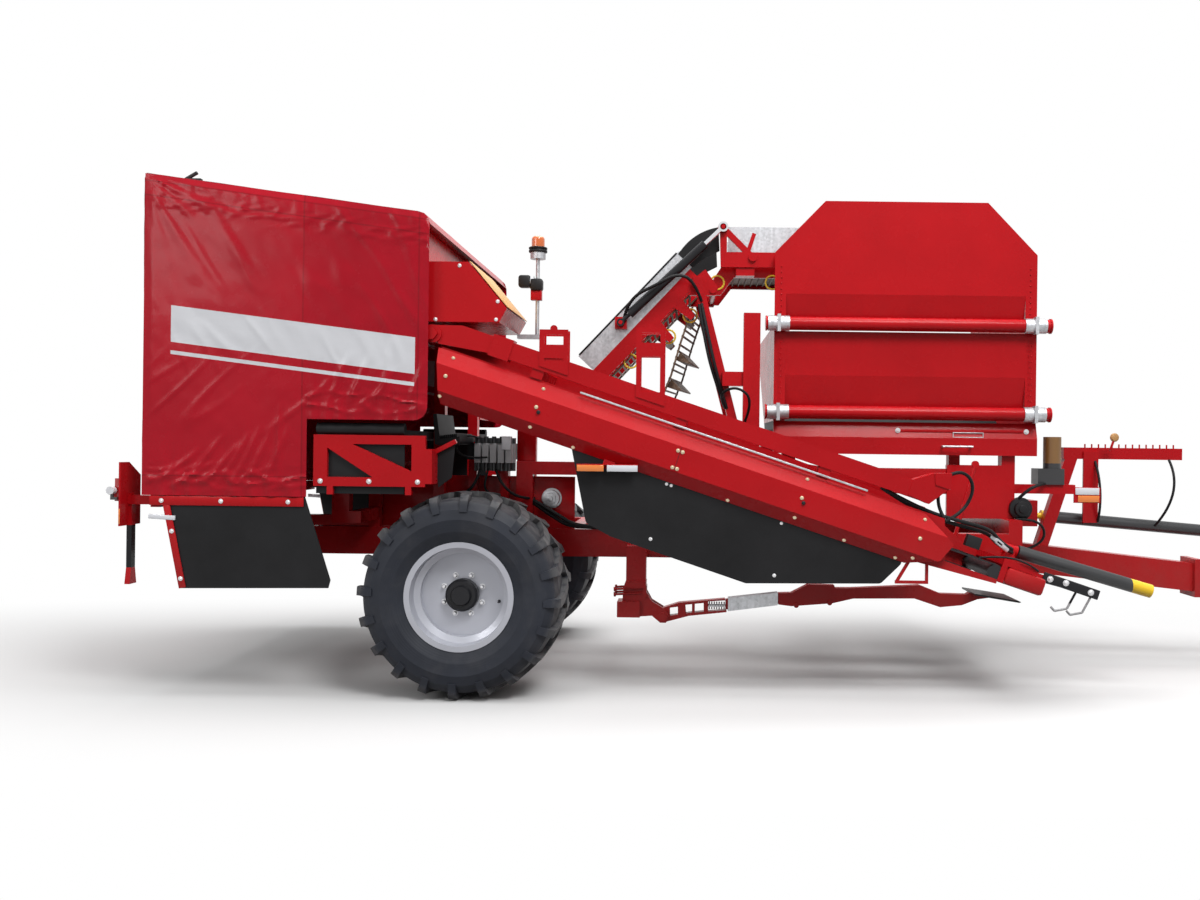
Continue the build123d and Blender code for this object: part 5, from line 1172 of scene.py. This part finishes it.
@dataclass(frozen=True)
class Folds:
    """Height of each kind of fold in the hung cloth."""

    rest: float = 0.010
    rays: float = 0.010
    pucker: float = 0.006
    gather: float = 0.012
    head: float = 0.010
    drape: float = 0.005
    streaks: float = 0.009
    small: float = 0.0016
    belly: float = 0.008
    crease: float = 0.010


@dataclass
class Tarpaulin:
    """The hood's coated cloth: two hung sides, the roof with its rear fall."""

    rear: float = fore(-2.085)
    front: float = fore(-0.215)
    step: float = fore(-1.008)
    bottom: float = 1.335
    step_z: float = 1.845
    rear_top: float = 3.445
    front_top: float = 3.205
    half: float = 1.460
    cell: float = 0.014
    corner: float = 0.09
    bend: float = 0.07
    thick: float = 0.002
    creases: int = 14
    rear_creases: int = 9
    folds: Folds = Folds()

    def top(self, x: float) -> float:
        """Height of the roof's edge above a point."""
        past = min(max(x - (self.front - self.bend), 0.0), self.bend)
        drop = self.bend - math.sqrt(self.bend ** 2 - past ** 2)
        return self.rear_top + (x - self.rear) * (self.front_top - self.rear_top) / (self.front - self.rear) - drop

    def fold(self, x: float, z: float, side: float) -> float:
        """How far the hung cloth stands out from its plane.

        Args:
            x: place along the machine.
            z: height.
            side: -1 right, 1 left.

        Returns:
            The outward distance in metres.
        """
        below = self.top(x) - z
        drop = below / 2.1
        reach = (x - self.rear) / (self.front - self.rear)
        corner = math.hypot(x - self.rear, below)
        angle = math.atan2(below, x - self.rear + 0.02)
        rays = noise.noise((angle * 7, corner * 0.8, side)) * math.exp(-corner / 0.9)
        hem = max(z - (self.step_z if x > self.step else self.bottom), 0.0)
        pucker = math.sin(x * 52 + 6 * noise.noise((x * 3, side, 1.0))) * math.exp(-hem / 0.14)
        reach_down = 0.05 + 0.10 * abs(noise.noise((x * 5, side, 8.0)))
        head = noise.noise((x * 17, side, 3.0)) * math.exp(-max(below, 0) / reach_down)
        band = math.exp(-((hem - 0.11) / 0.07) ** 2) + 0.6 * math.exp(-((below - 0.16) / 0.06) ** 2)
        sharp = 1.0 - abs(noise.noise((x * 6 + z * 5, z * 19 - x * 3, 1.5 + side)))
        gathers = max(sharp - 0.72, 0.0) / 0.28 * band
        drape = noise.noise((x * 1.4 + z * 0.7, z * 0.8, 5.0 + side))
        falling = self.streak(x, z, math.radians(-58), side)
        rising = self.streak(x, z, math.radians(41), side + 0.4)
        low_down = min(max((drop - 0.45) / 0.2, 0.0), 1.0)
        streaks = falling * (1.0 - low_down) + rising * low_down
        small = noise.noise((x * 11 + z * 6, z * 9, 2.0 + side))
        belly = math.sin(math.pi * min(max(drop, 0), 1)) * math.sin(math.pi * min(max(reach, 0), 1))
        fans = sum(self.ray(x, z, number, side) for number in range(self.creases))
        held = min((x - self.rear) / 0.06, 1.0) * min(below / 0.05 + 0.1, 1.0)
        by = self.folds
        return held * (by.rest + by.rays * rays + by.pucker * pucker + by.gather * gathers + by.head * head
                       + by.drape * drape + by.streaks * streaks + by.small * small + by.belly * belly + fans)

    def streak(self, x: float, z: float, slope: float, seed: float) -> float:
        """Height of the long straight creases that run along one slope.

        Args:
            x: place along the machine.
            z: height.
            slope: their angle from level.
            seed: picks the set of creases.

        Returns:
            A height from 0 to 1.
        """
        along = x * math.cos(slope) + z * math.sin(slope)
        across = z * math.cos(slope) - x * math.sin(slope)
        ridge = 1.0 - abs(noise.noise((across * 5.5, along * 0.8, 9.0 + seed)))
        return max(ridge - 0.84, 0.0) / 0.16 * max(0.3 + noise.noise((x * 2.1, z * 2.1, seed)), 0.0)

    def ray(self, x: float, z: float, number: int, side: float) -> float:
        """Height of one sharp crease that runs up and back from the cloth's lower corners.

        Args:
            x: place along the machine.
            z: height.
            number: which crease.
            side: -1 right, 1 left.

        Returns:
            The outward distance in metres.
        """
        drift = noise.noise((number * 1.7, side, 6.0))
        beyond = number - self.rear_creases
        foot_x = self.rear + 0.06 + number * 0.105 if beyond < 0 else self.step + 0.13 * (beyond + 1)
        foot_z = (self.bottom if beyond < 0 else self.step_z) + 0.05
        slope = math.radians(38 + 55 * drift + number * 3)
        run, rise = math.cos(slope), math.sin(slope)
        along = (x - foot_x) * run + (z - foot_z) * rise
        across = (z - foot_z) * run - (x - foot_x) * rise
        across += 0.02 * noise.noise((along * 3, number, side))
        length = 0.42 + 0.3 * drift
        if not 0.0 < along < length:
            return 0.0
        swell = math.sin(math.pi * along / length)
        return self.folds.crease * swell * math.exp(-(across / 0.016) ** 2)

    def finish(self, name: str) -> bpy.types.Object:
        """Give the active sheet its thickness and its surface."""
        wall = bpy.context.object.modifiers.new("cloth", "SOLIDIFY")
        wall.thickness, wall.offset = self.thick, -1.0
        bpy.ops.object.modifier_apply(modifier=wall.name)
        return stock(Slot.TARP).settle(name)

    def side(self, side: int) -> bpy.types.Object:
        """One hung side, with its corner rounded where the front edge meets the step.

        Args:
            side: -1 right, 1 left.

        Returns:
            The sheet.
        """
        deselect()
        across = int((self.front - self.rear) / self.cell)
        tall = int((self.rear_top - self.bottom) / self.cell)
        bpy.ops.mesh.primitive_grid_add(x_subdivisions=across, y_subdivisions=tall, size=1.0)
        piece = bpy.context.object
        for vertex in piece.data.vertices:
            u, v = vertex.co.x + 0.5, vertex.co.y + 0.5
            x = self.rear + u * (self.front - self.rear)
            z = self.bottom + v * (self.top(x) - self.bottom)
            if x > self.step:
                z = max(z, self.step_z) if z > self.step_z - 0.3 else z
            vertex.co = (x, 0.0, z)
        pick(piece, lambda face: face.center.x > self.step and face.center.z < self.step_z - 0.001)
        bpy.ops.mesh.delete(type="FACE")
        bpy.ops.mesh.select_all(action="SELECT")
        bpy.ops.mesh.remove_doubles(threshold=0.0005)
        bpy.ops.object.mode_set(mode="OBJECT")
        for vertex in piece.data.vertices:
            x, z = vertex.co.x, vertex.co.z
            across, below = x - (self.front - self.corner), (self.step_z + self.corner) - z
            if across > 0 and below > 0 and math.hypot(across, below) > self.corner:
                shrink = self.corner / math.hypot(across, below)
                vertex.co.x, vertex.co.z = x - across * (1 - shrink), z + below * (1 - shrink)
            vertex.co.y = side * (self.half + 0.003 + max(self.fold(x, z, side), -0.004))
        if side > 0:
            bpy.ops.object.mode_set(mode="EDIT")
            bpy.ops.mesh.select_all(action="SELECT")
            bpy.ops.mesh.flip_normals()
            bpy.ops.object.mode_set(mode="OBJECT")
        return self.finish("tarp_right" if side < 0 else "tarp_left")

    def roof(self) -> bpy.types.Object:
        """Roof and rear fall as one bent sheet.

        Returns:
            The sheet.
        """
        deselect()
        run = math.hypot(self.front - self.rear, self.rear_top - self.front_top)
        fall = self.rear_top - self.bottom
        long, wide = round((run + fall) / 0.04), round(2 * self.half / 0.05)
        bpy.ops.mesh.primitive_grid_add(x_subdivisions=long, y_subdivisions=wide, size=1.0)
        piece = bpy.context.object
        for vertex in piece.data.vertices:
            travel = (vertex.co.x + 0.5) * (run + fall)
            y = vertex.co.y * 2 * (self.half - 0.001)
            sag = math.cos(math.pi * y / (2 * self.half)) * 0.5
            ripple = 0.006 * noise.noise((travel * 2.2, y * 2.2, 4.0))
            ripple += 0.004 * abs(noise.noise((travel * 6, y * 4, 7.0)))
            if travel < fall:
                vertex.co = (self.rear - 0.002 - ripple, y, self.bottom + travel)
            else:
                share = (travel - fall) / run
                dip = 0.030 * sag * abs(math.sin(math.pi * share * 2))
                x = self.rear + share * (self.front - self.rear)
                vertex.co = (x, y, self.top(x) + 0.003 - dip + ripple * 0.4)
        return self.finish("tarp_roof")

    def build(self) -> None:
        """Hang the three sheets in place of the plain solids."""
        width, height = self.front - self.rear, self.rear_top - self.bottom
        cut = width * height - (self.front - self.step) * (self.step_z - self.bottom) - width * 0.12
        for side in (-1, 1):
            sheet = self.side(side)
            if side < 0:
                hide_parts("hood_sides")
        roof = self.roof()
        run = math.hypot(width, self.rear_top - self.front_top)
        run + height
        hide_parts("hood_roof")


@dataclass(frozen=True)
class Lamp:
    """One square soft lamp: where it hangs and points, its edge and its watts."""

    name: str
    spot: Point
    target: Point
    size: float
    power: float

    def hang(self) -> None:
        """Add the lamp to the scene."""
        data = bpy.data.lights.new(self.name, "AREA")
        data.size, data.energy = self.size, self.power
        lamp = bpy.data.objects.new(self.name, data)
        lamp.location = self.spot
        lamp.rotation_euler = (Vector(self.target) - Vector(self.spot)).to_track_quat("-Z", "Y").to_euler()
        bpy.context.scene.collection.objects.link(lamp)


@dataclass
class Studio:
    """Pale floor, soft light and the camera."""

    position: Point = (-0.612, -8.48, 1.704)
    lens: float = 32.1
    shift: Flat = (-0.075, -0.004)
    roll: float = math.radians(-0.7)
    lamps: tuple[Lamp, ...] = (
        Lamp("key", (3.0, -8.2, 10.4), (-0.5, 0.0, 1.2), 4.0, 970.0),
        Lamp("fill", (-8.0, -8.0, 5.0), (-1.0, 0.0, 1.5), 3.0, 170.0),
        Lamp("top", (-0.5, 0.5, 11.0), (-0.5, 0.0, 1.0), 9.0, 1250.0))
    floor_seen: Point = (0.60, 0.60, 0.60)
    floor_lit: Point = (0.13, 0.12, 0.12)
    glow: Flat = (1.6, 3.6)
    sky_level: Point = (0.12, 0.12, 0.12)
    sky_top: Point = (0.95, 0.95, 0.95)

    def camera(self) -> None:
        """Place the camera square to the machine's right side."""
        data = bpy.data.cameras.new("camera")
        data.lens, data.sensor_width = self.lens, 36.0
        data.shift_x, data.shift_y = self.shift
        data.clip_end = 200.0
        camera = bpy.data.objects.new("camera", data)
        camera.location = self.position
        camera.rotation_euler = (math.radians(90), self.roll, 0.0)
        bpy.context.scene.collection.objects.link(camera)
        bpy.context.scene.camera = camera

    def floor(self) -> None:
        """A wide floor that keeps the shadow and turns white away from the machine."""
        deselect()
        bpy.ops.mesh.primitive_plane_add(size=160.0, location=(0.0, 0.0, 0.0))
        ground = bpy.context.object
        ground.name = "floor"
        shader = Shader("pale_floor")
        shader.constants(Roughness=0.9, Specular_IOR_Level=0.1)
        x, y, _ = shader.axes()
        distance = (x * x * 0.10 + y * y) ** 0.5
        glow = shader.node("ShaderNodeEmission", {}, {"Color": (1.0, 1.0, 1.0), "Strength": 1.0})
        sight = shader.sight()
        shade = shader.blend(sight, self.floor_lit, self.floor_seen)
        shader.feed(shader.body.inputs["Base Color"], shade)
        fade = shader.step(distance, *self.glow) * sight
        body = Signal(shader, shader.body.outputs[0])
        mixed = shader.node("ShaderNodeMixShader", {}, {0: fade, 1: body, 2: glow})
        shader.feed(shader.tree.nodes["Material Output"].inputs["Surface"], mixed)
        ground.data.materials.append(shader.material)

    def world(self) -> None:
        """White to the eye and in reflections, and light that is bright above and dim at the level."""
        world = bpy.data.worlds.new("studio")
        world.use_nodes = True
        graph = Graph(world.node_tree, "Generated")
        back = graph.tree.nodes["Background"]
        height = graph.step(graph.axes()[2], 0.0, 0.9)
        sky = graph.blend(height, self.sky_level, self.sky_top)
        graph.feed(back.inputs["Color"], graph.blend(graph.sight(), sky, (1.0, 1.0, 1.0)))
        graph.feed(back.inputs["Strength"], 1.0)
        bpy.context.scene.world = world

    def build(self) -> None:
        """Set up the whole studio."""
        self.camera()
        self.floor()
        self.world()
        for lamp in self.lamps:
            lamp.hang()
        bpy.context.scene.view_settings.view_transform = "Standard"


def dress_nodes() -> None:
    """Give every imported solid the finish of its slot."""
    slots = {part["node"]: part["material_slot"] for part in frame["record"]["subparts"]}
    for node, piece in frame["nodes"].items():
        palette.dress(piece, NODE_FINISHES.get(node, FINISHES[Slot(slots[node])]))
        log.info("%s dressed as %s", node, slots[node])


def main() -> None:
    """Build the sub-assemblies in order."""
    logging.basicConfig(level=logging.INFO)
    Studio().build()
    dress_nodes()
    Tarpaulin().build()
    Guard().build()
    WheelTrim("right_wheel", Facing.RIGHT).build()
    WheelTrim("left_wheel", Facing.LEFT).build()
    RearTrim().build()
    ElevatorTrim().build()
    Fittings().build()
    Machinery().build()
    for hose in HOSES:
        hose.build()


if __name__ == "__main__":
    main()
